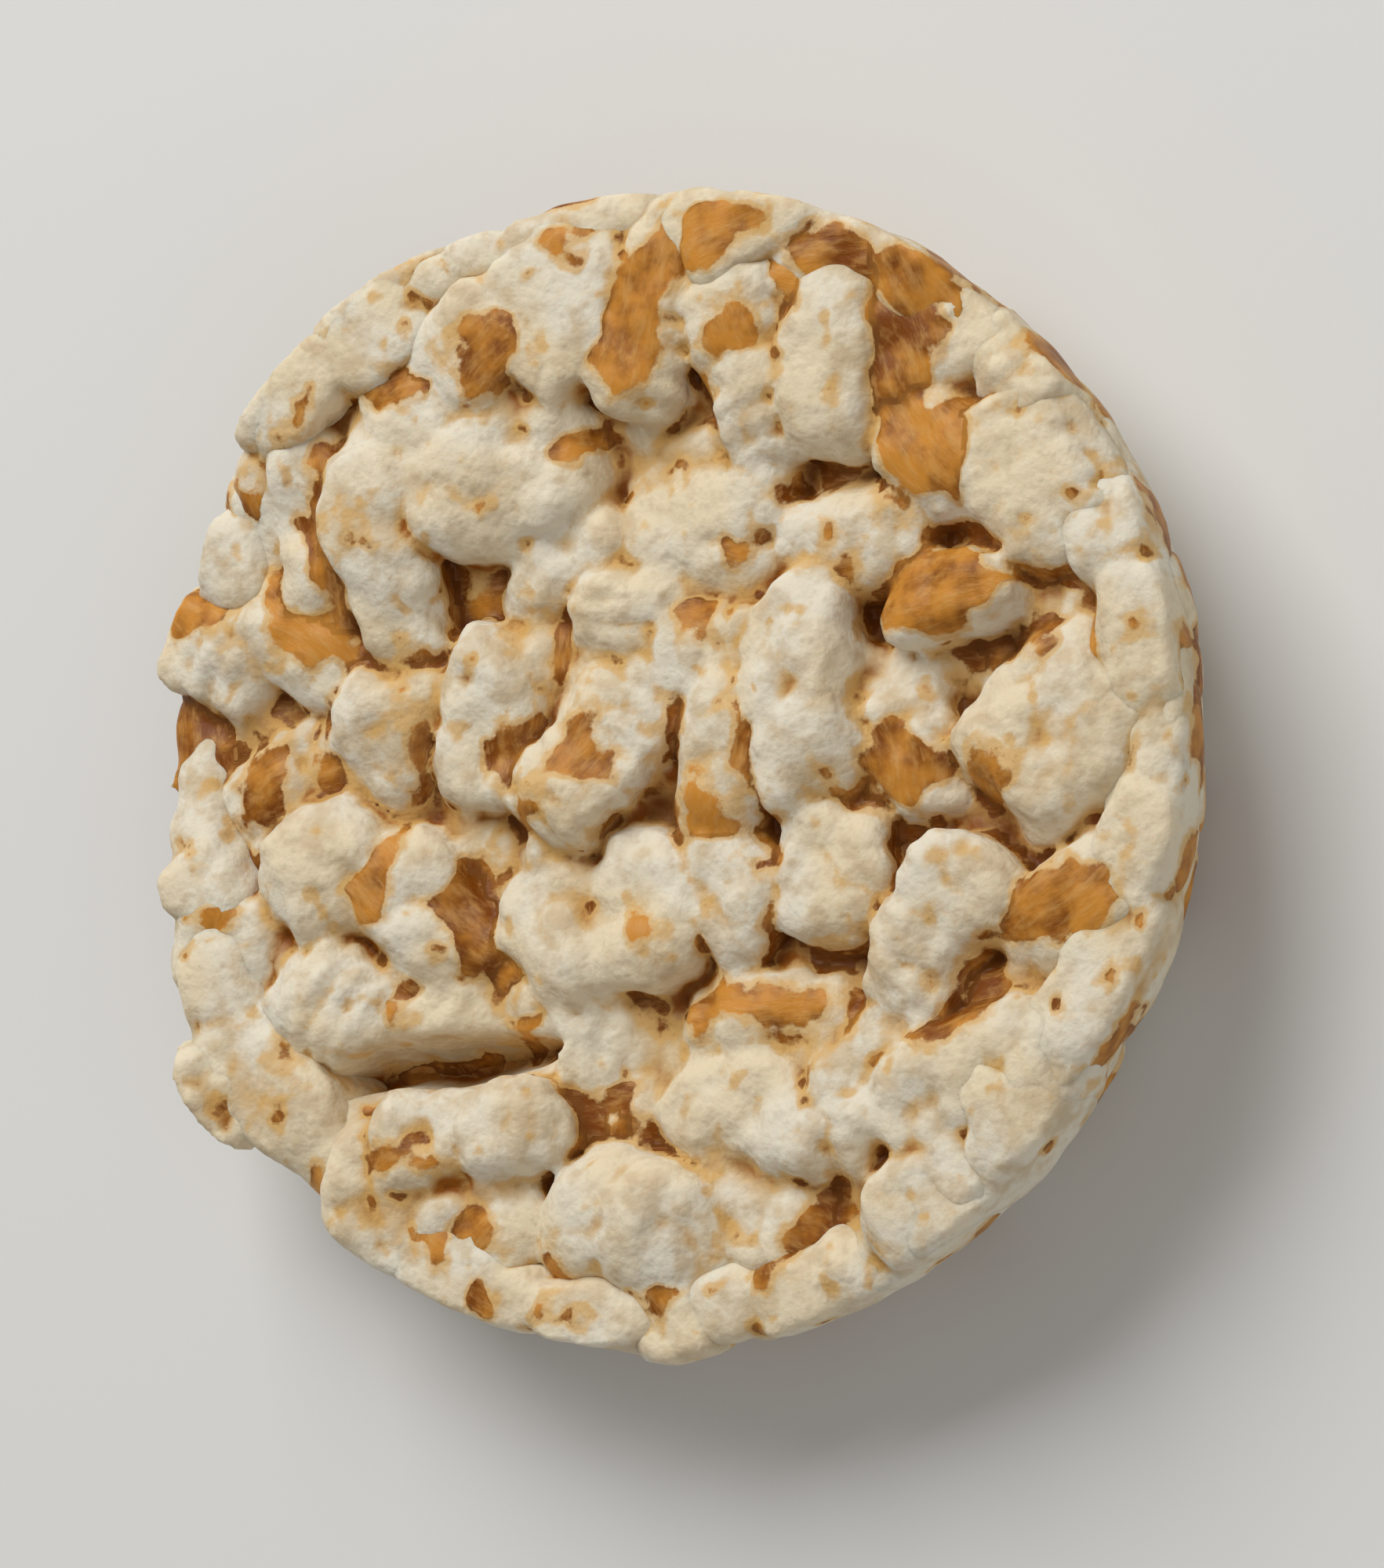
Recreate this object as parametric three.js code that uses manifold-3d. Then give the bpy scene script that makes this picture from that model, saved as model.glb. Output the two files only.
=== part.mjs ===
// A small puffed cake of whole grain: kernels popped in a hot round mould, so that they swell, press
// against the mould's wall and fuse into one crisp piece. It is one solid: a thin foamy core with the
// swollen kernels on it. It lies with its slightly dished face up. One edge of the face is a whole,
// smooth rim, and the other has crumbled to bare kernels.
// Millimetres, +Z up, origin on the table under the middle of the cake.

import * as THREE from "three";
import { mergeVertices } from "three/addons/utils/BufferGeometryUtils.js";
import Module from "manifold-3d";

// ---- Driving dimensions ----

const CAKE_RADIUS = 25;
const RIM_HEIGHT = 10; // the rim's top edge, above the table
const FLOOR_HEIGHT = 8.4; // tops of the kernels in the middle of the dish
const CRUMBLED_HEIGHT = 8.2; // the same at the edge that has lost its rim
const DISH_INNER = 11; // radius where the dish's floor begins to climb
const DISH_OUTER = 20; // radius where it has reached the edge's height
const FLUSH_HEIGHT = 7.4; // from here up the wall stands straight, and below it curves in
const BASE_INSET = 4.8; // how much smaller the radius is at the table
const SIDE_CURVE = 1.6; // power that shapes the curve between

const CRUMBLED_MIDDLE = 218; // degrees from +X, anticlockwise seen from above
const CRUMBLED_HALF = 62; // half of the stretch without a rim
const CRUMBLED_FADE = 26; // over which the rim dies away

const CORE_UNDERSIDE = 1.9; // the core stays this far inside the kernels' lower tips
const CORE_TOP_DEPTH = 2.1; // and this far under the tops of the face's kernels
const CORE_WALL_GAP = 0.45; // and this far inside the mould's wall
const LIP_WIDTH = 1.5; // the rim's top edge

const NOTCH = { angle: 172, width: 4.6, reach: 4.6 }; // a bite out of the wall where no kernel popped
const CREVICE = { x: -10.5, y: -12, length: 13, width: 1.9, heading: 6, depth: 3.4 };

// Kernels that fill the places between the ones listed below.
const KERNEL_LENGTH = [6.2, 8.8];
const KERNEL_WIDTH = [4.2, 5.6];
const KERNEL_LIFT = [-0.7, 0.5]; // above or below the surface that the kernels share
const KERNEL_PITCH = 14; // largest nose-up or nose-down angle, in degrees
const KERNEL_FLATNESS = 0.84; // thickness over width
const FACE_COVER = 1.22; // a spot is bare if it is outside every footprint, grown by this much
const BACK_COVER = 1.8; // the same on the back
const WALL_COVER = 1.6; // and round the wall

// The popped kernels that stand out on the face: middle x and y, length, width, heading in degrees, and lift.
const FACE_KERNELS = [
  [-17.6, 16.8, 5.4, 4.6, 60, 0.1],
  [-12.5, 20.3, 7.4, 4.8, 30, 0.0],
  [-4.0, 20.2, 7.8, 6.4, 60, 0.5],
  [0.6, 19.4, 9.2, 4.4, 75, 0.2],
  [5.0, 16.8, 9.0, 4.8, 108, 0.3],
  [8.9, 16.4, 7.6, 4.2, 86, 0.3],
  [13.4, 12.8, 7.4, 5.6, 128, 0.1],
  [18.2, 10.6, 8.4, 5.4, 118, 0.3],
  [9.6, 9.0, 8.4, 4.8, 12, 0.3],
  [14.2, 6.4, 6.6, 3.8, 5, 0.4],
  [19.2, 0.8, 8.8, 8.0, 40, 0.3],
  [19.4, -6.8, 7.4, 5.2, 30, 0.0],
  [13.4, -7.4, 9.2, 5.2, 55, 0.6],
  [7.4, 2.8, 10.4, 5.2, 97, 0.9],
  [8.4, -4.6, 6.2, 5.0, 80, 0.6],
  [3.7, 0.2, 8.4, 5.0, 70, 0.4],
  [3.6, -5.4, 5.8, 5.2, 60, 0.5],
  [-1.4, 6.2, 5.8, 5.0, 80, 0.4],
  [1.8, 8.8, 7.6, 4.8, -22, 0.1],
  [-6.8, 13.2, 9.6, 7.2, 15, 0.6],
  [-12.6, 9.8, 9.8, 4.4, 105, 0.7],
  [-16.0, 10.8, 9.4, 3.8, 97, 0.2],
  [-17.0, 6.4, 8.0, 5.2, -38, 0.1],
  [-21.6, 6.2, 6.4, 4.8, -30, 0.1],
  [-13.0, 2.6, 7.0, 5.0, 80, 0.2],
  [-8.0, 2.6, 9.0, 5.4, 80, 0.5],
  [-2.6, 1.0, 9.2, 5.4, 48, 0.6],
  [-15.6, -3.4, 6.8, 5.8, 40, 0.5],
  [-21.0, -6.4, 6.6, 5.6, 70, 0.1],
  [-11.0, -5.4, 8.2, 5.2, -40, 0.2],
  [-15.8, -9.2, 7.2, 5.4, -35, 0.3],
  [-4.2, -6.6, 8.6, 5.6, -50, 0.3],
  [-0.1, -6.0, 7.2, 5.8, 80, 0.5],
  [5.5, -10.8, 8.4, 4.8, -5, 0.2],
  [4.8, -14.6, 8.6, 4.8, -15, 0.3],
  [-8.5, -14.8, 10.0, 4.0, 5, 0.7],
  [-21.8, -13.2, 6.2, 4.8, -40, 0.4],
  [-12.4, -18.2, 7.8, 5.6, -30, 0.5],
  [-1.0, -18.6, 8.8, 5.6, -5, 0.6],
  [13.2, -18.2, 6.4, 5.0, 35, 0.1],
  [15.4, -13.6, 9.2, 5.2, 15, 0.3],
];

// How many bare spots are tried on each surface, along a spiral that spreads them evenly.
const FACE_SPOTS = 420;
const BACK_SPOTS = 420;
const WALL_SPOTS = 260;
const FACE_FILL_RADIUS = 22.6;
const BACK_FILL_RADIUS = 20.6;
const BACK_HEIGHT = -0.35; // lower tips of the back's kernels, before the die presses them flat
const BACK_CLIMB = 3.6; // how far those tips rise at the edge of the back
const BACK_LEVEL = 16; // the radius inside which the back is level
const WALL_LOW = 3.2; // middles of the wall's kernels
const WALL_HIGH = 7.8;
const WALL_CRUMBLED = 0.55; // share of that spread that is left where the rim has crumbled
const WALL_PRESS = 0.5; // how far a wall kernel would reach past the mould, before it is pressed flat

const FACE_SIDES = 6; // facets round a kernel of the face
const BACK_SIDES = 5; // and of the back and wall
const KERNEL_RINGS = 4; // and along any of them
const ROUND_SIDES = 36; // facets round the cake

const GOLDEN_ANGLE = Math.PI * (3 - Math.sqrt(5));
const SEED = 20241;

// ---- Small helpers ----

const radians = (degrees) => (degrees * Math.PI) / 180;
const mix = (a, b, share) => a + (b - a) * share;

function smoothStep(low, high, value) {
  const share = Math.min(1, Math.max(0, (value - low) / (high - low)));
  return share * share * (3 - 2 * share);
}

// A seeded draw from 0 to 1, by a linear congruential rule.
function drawFrom(seed) {
  let state = seed;
  return () => {
    state = (1664525 * state + 1013904223) % 4294967296;
    return state / 4294967296;
  };
}

// ---- The surfaces that the kernels lie along ----

// 1 where the rim is whole, 0 where it has crumbled away.
function rimShare(angle) {
  const turn = (angle * 180) / Math.PI - CRUMBLED_MIDDLE;
  const away = Math.abs(((((turn + 180) % 360) + 360) % 360) - 180);
  return smoothStep(CRUMBLED_HALF, CRUMBLED_HALF + CRUMBLED_FADE, away);
}

// The mould was round, but the cake sprang out of it a little uneven.
function wallRadius(angle) {
  const sprung = 0.14 * Math.cos(2 * angle + 0.7) + 0.16 * Math.cos(3 * angle - 1.1);
  return CAKE_RADIUS + sprung;
}

// How far the wall is inside its full radius at this height, and how far it leans out there, in radians.
function sideInset(height) {
  return BASE_INSET * Math.max(0, 1 - height / FLUSH_HEIGHT) ** SIDE_CURVE;
}

function sideLean(height) {
  const share = Math.max(0, 1 - height / FLUSH_HEIGHT);
  return Math.atan((BASE_INSET / FLUSH_HEIGHT) * SIDE_CURVE * share ** (SIDE_CURVE - 1));
}

function faceHeight(radius, angle) {
  const edge = mix(CRUMBLED_HEIGHT, RIM_HEIGHT, rimShare(angle));
  return mix(FLOOR_HEIGHT, edge, smoothStep(DISH_INNER, DISH_OUTER, radius));
}

function backHeight(radius) {
  return BACK_HEIGHT + BACK_CLIMB * smoothStep(BACK_LEVEL, CAKE_RADIUS, radius);
}

// The slope, in degrees, of a surface under a kernel that lies along its heading.
function slopeUnder(kernel, height) {
  const halfX = (kernel.length / 2) * Math.cos(radians(kernel.heading));
  const halfY = (kernel.length / 2) * Math.sin(radians(kernel.heading));
  const heightAt = (x, y) => height(Math.hypot(x, y), Math.atan2(y, x));
  const front = heightAt(kernel.x + halfX, kernel.y + halfY);
  const back = heightAt(kernel.x - halfX, kernel.y - halfY);
  return (Math.atan2(front - back, kernel.length) * 180) / Math.PI;
}

// ---- Where the kernels are ----

// True if the point is inside the kernel's footprint, grown to this share of its size.
function covers(kernel, share, x, y) {
  const turn = radians(kernel.heading);
  const along = (x - kernel.x) * Math.cos(turn) + (y - kernel.y) * Math.sin(turn);
  const across = (y - kernel.y) * Math.cos(turn) - (x - kernel.x) * Math.sin(turn);
  return Math.hypot(along / kernel.length, across / kernel.width) < share / 2;
}

function drawnKernel(draw, x, y) {
  return {
    x,
    y,
    length: mix(...KERNEL_LENGTH, draw()),
    width: mix(...KERNEL_WIDTH, draw()),
    heading: 180 * draw(),
    lift: mix(...KERNEL_LIFT, draw()),
    pitch: KERNEL_PITCH * (2 * draw() - 1),
  };
}

// Goes along a sunflower spiral and puts a kernel on each spot that is still bare.
function fillDisc(kernels, draw, spots, fillRadius, cover) {
  for (let spot = 0; spot < spots; spot++) {
    const radius = fillRadius * Math.sqrt((spot + 0.5) / spots);
    const x = radius * Math.cos(spot * GOLDEN_ANGLE);
    const y = radius * Math.sin(spot * GOLDEN_ANGLE);
    const bare = !kernels.some((kernel) => covers(kernel, cover, x, y));
    if (bare) kernels.push(drawnKernel(draw, x, y));
  }
}

function inNotch(x, y) {
  const turn = radians(NOTCH.angle);
  const outward = x * Math.cos(turn) + y * Math.sin(turn);
  const sideways = y * Math.cos(turn) - x * Math.sin(turn);
  return outward > CAKE_RADIUS - NOTCH.reach && Math.abs(sideways) < NOTCH.width / 2;
}

function faceKernels(draw) {
  const kernels = FACE_KERNELS.map(([x, y, length, width, heading, lift]) => {
    return { x, y, length, width, heading, lift, pitch: 0 };
  });
  const listed = kernels.length;
  kernels.push({ ...CREVICE, width: 2 * CREVICE.width });
  fillDisc(kernels, draw, FACE_SPOTS, FACE_FILL_RADIUS, FACE_COVER);
  kernels.splice(listed, 1); // the crevice only kept its own place free
  return kernels
    .filter((kernel) => !inNotch(kernel.x, kernel.y))
    .map((kernel) => {
      const thickness = KERNEL_FLATNESS * kernel.width;
      const top = faceHeight(Math.hypot(kernel.x, kernel.y), Math.atan2(kernel.y, kernel.x));
      const pitch = kernel.pitch + slopeUnder(kernel, faceHeight);
      return { ...kernel, thickness, pitch, z: top + kernel.lift - thickness / 2 };
    });
}

function backKernels(draw) {
  const kernels = [];
  fillDisc(kernels, draw, BACK_SPOTS, BACK_FILL_RADIUS, BACK_COVER);
  return kernels
    .filter((kernel) => !inNotch(kernel.x, kernel.y))
    .map((kernel) => {
      const thickness = KERNEL_FLATNESS * kernel.width;
      const tip = backHeight(Math.hypot(kernel.x, kernel.y));
      const pitch = kernel.pitch + slopeUnder(kernel, backHeight);
      return { ...kernel, thickness, pitch, z: tip - kernel.lift / 2 + thickness / 2 };
    });
}

// The wall's kernels are placed on the wall unrolled: x along its length, y up. Heading 0 lies level.
function wallKernels(draw) {
  const around = 2 * Math.PI * CAKE_RADIUS;
  const kernels = [];
  for (let spot = 0; spot < WALL_SPOTS; spot++) {
    const x = around * ((spot * GOLDEN_ANGLE) / (2 * Math.PI) % 1);
    const y = mix(WALL_LOW, WALL_HIGH, (spot + 0.5) / WALL_SPOTS);
    const bare = !kernels.some((kernel) => {
      return [-around, 0, around].some((lap) => covers(kernel, WALL_COVER, x + lap, y));
    });
    if (bare) kernels.push(drawnKernel(draw, x, y));
  }
  return kernels
    .map((kernel) => {
      const angle = kernel.x / CAKE_RADIUS;
      const thickness = KERNEL_FLATNESS * kernel.width;
      const z = mix(WALL_LOW, kernel.y, mix(WALL_CRUMBLED, 1, rimShare(angle)));
      const radius = wallRadius(angle) - sideInset(z) + WALL_PRESS - thickness / 2;
      return { ...kernel, thickness, angle, radius, z };
    })
    .filter((kernel) => {
      const { radius, angle } = kernel;
      return !inNotch(radius * Math.cos(angle), radius * Math.sin(angle));
    });
}

// ---- Solids ----

const wasm = await Module();
wasm.setup();

// Three.js gives every pole and seam vertices of its own. They are merged, and the triangles that this
// flattens are dropped.
function solidFrom(geometry) {
  geometry.deleteAttribute("normal");
  geometry.deleteAttribute("uv");
  const merged = mergeVertices(geometry, 1e-4);
  const corners = merged.index.array;
  const kept = [];
  for (let i = 0; i < corners.length; i += 3) {
    const [a, b, c] = corners.slice(i, i + 3);
    if (a !== b && b !== c && c !== a) kept.push(a, b, c);
  }
  return new wasm.Manifold(
    new wasm.Mesh({
      numProp: 3,
      vertProperties: new Float32Array(merged.attributes.position.array),
      triVerts: new Uint32Array(kept),
    }),
  );
}

// The triangles of the solid's outer skin. Tiny pockets shut in between kernels are filled, by leaving
// out theirs.
function outerTriangles(mesh) {
  const owner = Array.from({ length: mesh.vertProperties.length / 3 }, (_, i) => i);
  const find = (i) => {
    while (owner[i] !== i) i = owner[i] = owner[owner[i]];
    return i;
  };
  for (let i = 0; i < mesh.triVerts.length; i += 3) {
    owner[find(mesh.triVerts[i])] = find(mesh.triVerts[i + 1]);
    owner[find(mesh.triVerts[i + 1])] = find(mesh.triVerts[i + 2]);
  }
  const skins = Map.groupBy(mesh.triVerts, (corner) => find(corner));
  return [...skins.values()].reduce((a, b) => (b.length > a.length ? b : a));
}

function geometryFrom(solid) {
  const mesh = solid.getMesh();
  const geometry = new THREE.BufferGeometry();
  geometry.setAttribute("position", new THREE.BufferAttribute(mesh.vertProperties, 3));
  geometry.setIndex(outerTriangles(mesh));
  geometry.computeVertexNormals();
  return geometry;
}

// One swollen kernel: a few-sided ellipsoid with its length along X.
function kernelGeometry(kernel, sides) {
  const geometry = new THREE.SphereGeometry(0.5, sides, KERNEL_RINGS);
  geometry.rotateZ(Math.PI / 2);
  geometry.scale(kernel.length, kernel.width, kernel.thickness);
  return geometry;
}

function lyingKernel(kernel, sides) {
  const geometry = kernelGeometry(kernel, sides);
  geometry.rotateY(-radians(kernel.pitch));
  geometry.rotateZ(radians(kernel.heading));
  geometry.translate(kernel.x, kernel.y, kernel.z);
  return solidFrom(geometry);
}

// On the wall a kernel's flat side faces outwards, square to the wall's lean.
function standingKernel(kernel) {
  const geometry = kernelGeometry(kernel, BACK_SIDES);
  geometry.rotateZ(radians(kernel.heading));
  geometry.rotateX(Math.PI / 2);
  geometry.rotateZ(Math.PI / 2);
  geometry.rotateY(sideLean(kernel.z));
  geometry.translate(kernel.radius, 0, kernel.z);
  geometry.rotateZ(kernel.angle);
  return solidFrom(geometry);
}

// A round solid turned from a profile, then moved point by point.
function turned(profile, move) {
  const points = profile.map(([radius, height]) => new THREE.Vector2(radius, height));
  const geometry = new THREE.LatheGeometry(points, ROUND_SIDES);
  const position = geometry.getAttribute("position");
  for (let i = 0; i < position.count; i++) {
    const radius = Math.hypot(position.getX(i), position.getZ(i));
    const angle = Math.atan2(-position.getZ(i), position.getX(i));
    const [r, height] = move(radius, angle, position.getY(i));
    position.setXYZ(i, r * Math.cos(angle), r * Math.sin(angle), height);
  }
  return solidFrom(geometry);
}

// The foam between the kernels: a dish with a thin lip, low where the edge has crumbled.
function coreSolid() {
  const wall = CAKE_RADIUS - CORE_WALL_GAP;
  const floor = FLOOR_HEIGHT - CORE_TOP_DEPTH;
  const low = CORE_UNDERSIDE;
  const profile = [
    [0, low],
    [15.5, low],
    [20.2, low + 1.4],
    [22.9, low + 3.3],
    [wall, FLUSH_HEIGHT + 0.2],
    [wall, RIM_HEIGHT],
    [wall - LIP_WIDTH, RIM_HEIGHT],
    [wall - 3, RIM_HEIGHT - CORE_TOP_DEPTH],
    [DISH_INNER, floor],
    [0, floor],
  ];
  return turned(profile, (radius, angle, height) => {
    const bent = (radius * wallRadius(angle)) / CAKE_RADIUS;
    const crumbled = (1 - rimShare(angle)) * smoothStep(DISH_INNER, DISH_OUTER, radius);
    const sunk = Math.min(height, CRUMBLED_HEIGHT - CORE_TOP_DEPTH);
    return [bent, mix(height, sunk, crumbled)];
  });
}

// The inside of the mould, which presses the wall's top smooth and the lowest kernels flat.
function mouldSolid() {
  const top = RIM_HEIGHT + 0.3;
  const profile = [
    [0, 0],
    [CAKE_RADIUS - BASE_INSET, 0],
    [CAKE_RADIUS - sideInset(1.6), 1.6],
    [CAKE_RADIUS - sideInset(4), 4],
    [CAKE_RADIUS, FLUSH_HEIGHT],
    [CAKE_RADIUS, RIM_HEIGHT],
    [CAKE_RADIUS - LIP_WIDTH, top],
    [DISH_OUTER, top + 0.6],
    [0, top + 0.6],
  ];
  return turned(profile, (radius, angle, height) => [
    (radius * wallRadius(angle)) / CAKE_RADIUS,
    height,
  ]);
}

function notchSolid() {
  const geometry = new THREE.SphereGeometry(1, 10, 8);
  geometry.scale(NOTCH.reach, NOTCH.width / 2, 1.2 * RIM_HEIGHT);
  geometry.translate(CAKE_RADIUS + 0.3, 0, 0.8 * RIM_HEIGHT);
  geometry.rotateZ(radians(NOTCH.angle));
  return solidFrom(geometry);
}

function creviceSolid() {
  const geometry = new THREE.SphereGeometry(1, 10, 6);
  geometry.rotateZ(Math.PI / 2);
  geometry.scale(CREVICE.length / 2, CREVICE.width / 2, CREVICE.depth);
  geometry.rotateZ(radians(CREVICE.heading));
  const top = faceHeight(Math.hypot(CREVICE.x, CREVICE.y), Math.atan2(CREVICE.y, CREVICE.x));
  geometry.translate(CREVICE.x, CREVICE.y, top);
  return solidFrom(geometry);
}

function cakeSolid() {
  const draw = drawFrom(SEED);
  const pieces = [
    coreSolid(),
    ...faceKernels(draw).map((kernel) => lyingKernel(kernel, FACE_SIDES)),
    ...backKernels(draw).map((kernel) => lyingKernel(kernel, BACK_SIDES)),
    ...wallKernels(draw).map(standingKernel),
  ];
  const fused = wasm.Manifold.union(pieces).intersect(mouldSolid());
  return fused.subtract(notchSolid()).subtract(creviceSolid());
}

// ---- The part ----

const puffedGrain = new THREE.MeshStandardMaterial({ color: 0xe6d8bf, roughness: 0.85, metalness: 0 });

const cake = new THREE.Mesh(geometryFrom(cakeSolid()), puffedGrain);
cake.name = "puffed_cake";

const part = new THREE.Group();
part.add(cake);

export default part;
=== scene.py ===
# A small cake of puffed whole grain on a pale table, with its dished face up. Popped kernels, still in shreds
# of their brown bran coat, have swollen in a round mould and fused into one crisp piece. Sizes are in
# millimetres, and become metres where a mesh is made.

from math import cos, hypot, pi, radians, sin, sqrt

import bpy
import numpy as np
from mathutils import Matrix, Vector


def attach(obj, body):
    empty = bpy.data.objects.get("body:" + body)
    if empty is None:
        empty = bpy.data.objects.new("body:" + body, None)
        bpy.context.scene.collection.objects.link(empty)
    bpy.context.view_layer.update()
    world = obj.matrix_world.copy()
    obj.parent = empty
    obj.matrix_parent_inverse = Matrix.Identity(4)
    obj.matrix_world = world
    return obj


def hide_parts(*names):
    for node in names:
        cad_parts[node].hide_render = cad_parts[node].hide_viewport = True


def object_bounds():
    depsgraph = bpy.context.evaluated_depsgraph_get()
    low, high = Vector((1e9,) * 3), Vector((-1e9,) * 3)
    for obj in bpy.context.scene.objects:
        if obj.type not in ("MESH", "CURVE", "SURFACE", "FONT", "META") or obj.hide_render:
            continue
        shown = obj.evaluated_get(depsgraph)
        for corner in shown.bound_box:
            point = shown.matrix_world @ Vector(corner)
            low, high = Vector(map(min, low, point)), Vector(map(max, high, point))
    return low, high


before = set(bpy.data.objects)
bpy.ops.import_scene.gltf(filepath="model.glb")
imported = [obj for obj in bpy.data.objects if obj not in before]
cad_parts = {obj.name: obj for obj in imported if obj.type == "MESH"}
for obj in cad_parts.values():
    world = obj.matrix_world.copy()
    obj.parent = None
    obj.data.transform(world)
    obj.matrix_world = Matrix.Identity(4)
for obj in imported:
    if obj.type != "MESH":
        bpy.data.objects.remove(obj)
cad_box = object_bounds()

# ---- The kernels on the face ----
# Whole grains that popped in the mould: white foam in rounded lobes, with the split bran coat still stuck on.
# They lie along a shallow dish. Round most of its edge they climb to the rim, and at the lower left that
# rim has crumbled away.

CAKE_RADIUS = 25
WALL_WAVES = [(0.14, 2, 0.7), (0.16, 3, -1.1)]  # height, number round the cake, and phase
RIM_HEIGHT = 10
FLOOR_HEIGHT = 8.4
CRUMBLED_HEIGHT = 8.2
DISH_INNER = 11  # the dish climbs from this radius to the next
DISH_OUTER = 20
CRUMBLED_MIDDLE = 218  # degrees from +X, anticlockwise seen from above
CRUMBLED_HALF = 62
CRUMBLED_FADE = 26
FLUSH_HEIGHT = 7.4  # from here up the wall stands straight, and below it curves in
BASE_INSET = 4.8
SIDE_CURVE = 1.6

NOTCH_ANGLE = 172  # a bite out of the wall where no kernel popped
NOTCH_WIDTH = 4.6
NOTCH_REACH = 4.6

NOSE_ANGLE = 211  # one kernel juts out of the crumbled edge
NOSE_REACH = 1.3
NOSE_SPREAD = 8  # degrees

WARP, WARP_SIZE = 0.4, 3.6  # how far foam wanders before it meets the mould, and over what length
RAGGED, RAGGED_SIZE = 0.4, 4.5  # the same for the crumbled edge
BOX_MARGIN = 0.05

KERNEL_LENGTH = (6.2, 8.8)
KERNEL_WIDTH = (4.2, 5.6)
KERNEL_LIFT = (-0.7, 0.5)
KERNEL_PITCH = 14  # degrees
KERNEL_FLATNESS = 0.84  # thickness over width
KERNEL_TRIM = 0.05  # off each half size, as the lobes stand out again
KERNEL_TAPER = 0.16
KERNEL_BEND = 0.5
FACE_SINK = 0.3  # the face's kernels lie this much deeper than their rows say
FACE_RELIEF = 1.6  # and differ in height this many times as much
GOLDEN_ANGLE = pi * (3 - sqrt(5))
SEED = 20241

# Foam is lumpy at four sizes, each with its spacing and its height.
BIG_LOBE, BIG_RISE = 3.3, 0.8
SMALL_LOBE, SMALL_RISE = 1.6, 0.5
RIDGE, RIDGE_RISE = 1.15, 0.1  # only on the wrinkled third of the kernels
GRIT, GRIT_RISE = 0.6, 0.11

# Bran follows the big lobes, is smoother than foam over the small ones, and stands a little proud.
BRAN_PROUD = 0.1
BRAN_BIG_SHARE = 0.95
BRAN_SMALL_RISE = 0.3
BRAN_GRIT_RISE = 0.04
BRAN_IN_CREASES = 0.9  # how much further it reaches between lobes than over them

# Middle x and y, length, width, heading in degrees, and height above the common surface.
FACE_KERNELS = [
    (-17.6, 16.8, 5.4, 4.6, 60, 0.1),
    (-12.5, 20.3, 7.4, 4.8, 30, 0.0),
    (-4.0, 20.2, 7.8, 6.4, 60, 0.5),
    (0.6, 19.4, 9.2, 4.4, 75, 0.2),
    (5.0, 16.8, 9.0, 4.8, 108, 0.3),
    (8.9, 16.4, 7.6, 4.2, 86, 0.3),
    (13.4, 12.8, 7.4, 5.6, 128, 0.1),
    (18.2, 10.6, 8.4, 5.4, 118, 0.3),
    (9.6, 9.0, 8.4, 4.8, 12, 0.3),
    (14.2, 6.4, 6.6, 3.8, 5, 0.4),
    (19.2, 0.8, 8.8, 8.0, 40, 0.3),
    (19.4, -6.8, 7.4, 5.2, 30, 0.0),
    (13.4, -7.4, 9.2, 5.2, 55, 0.6),
    (7.4, 2.8, 10.4, 5.2, 97, 0.9),
    (8.4, -4.6, 6.2, 5.0, 80, 0.6),
    (3.7, 0.2, 8.4, 5.0, 70, 0.4),
    (3.6, -5.4, 5.8, 5.2, 60, 0.5),
    (-1.4, 6.2, 5.8, 5.0, 80, 0.4),
    (1.8, 8.8, 7.6, 4.8, -22, 0.1),
    (-6.8, 13.2, 9.6, 7.2, 15, 0.6),
    (-12.6, 9.8, 9.8, 4.4, 105, 0.7),
    (-16.0, 10.8, 9.4, 3.8, 97, 0.2),
    (-17.0, 6.4, 8.0, 5.2, -38, 0.1),
    (-21.6, 6.2, 6.4, 4.8, -30, 0.1),
    (-13.0, 2.6, 7.0, 5.0, 80, 0.2),
    (-8.0, 2.6, 9.0, 5.4, 80, 0.5),
    (-2.6, 1.0, 9.2, 5.4, 48, 0.6),
    (-15.6, -3.4, 6.8, 5.8, 40, 0.5),
    (-21.0, -6.4, 6.6, 5.6, 70, 0.1),
    (-11.0, -5.4, 8.2, 5.2, -40, 0.2),
    (-15.8, -9.2, 7.2, 5.4, -35, 0.3),
    (-4.2, -6.6, 8.6, 5.6, -50, 0.3),
    (-0.1, -6.0, 7.2, 5.8, 80, 0.5),
    (5.5, -10.8, 8.4, 4.8, -5, 0.2),
    (4.8, -14.6, 8.6, 4.8, -15, 0.3),
    (-8.5, -14.8, 10.0, 4.0, 5, 0.7),
    (-21.8, -13.2, 6.2, 4.8, -40, 0.4),
    (-12.4, -18.2, 7.8, 5.6, -30, 0.5),
    (-1.0, -18.6, 8.8, 5.6, -5, 0.6),
    (13.2, -18.2, 6.4, 5.0, 35, 0.1),
    (15.4, -13.6, 9.2, 5.2, 15, 0.3),
]
# A long dark gap between two rows of kernels, which no kernel fills.
CREVICE = (-10.5, -12, 13, 3.8, 6, 0)
CREVICE_OPENING = 1.9  # the width that stays clear of foam
CREVICE_DEPTH = 5.0

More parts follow.
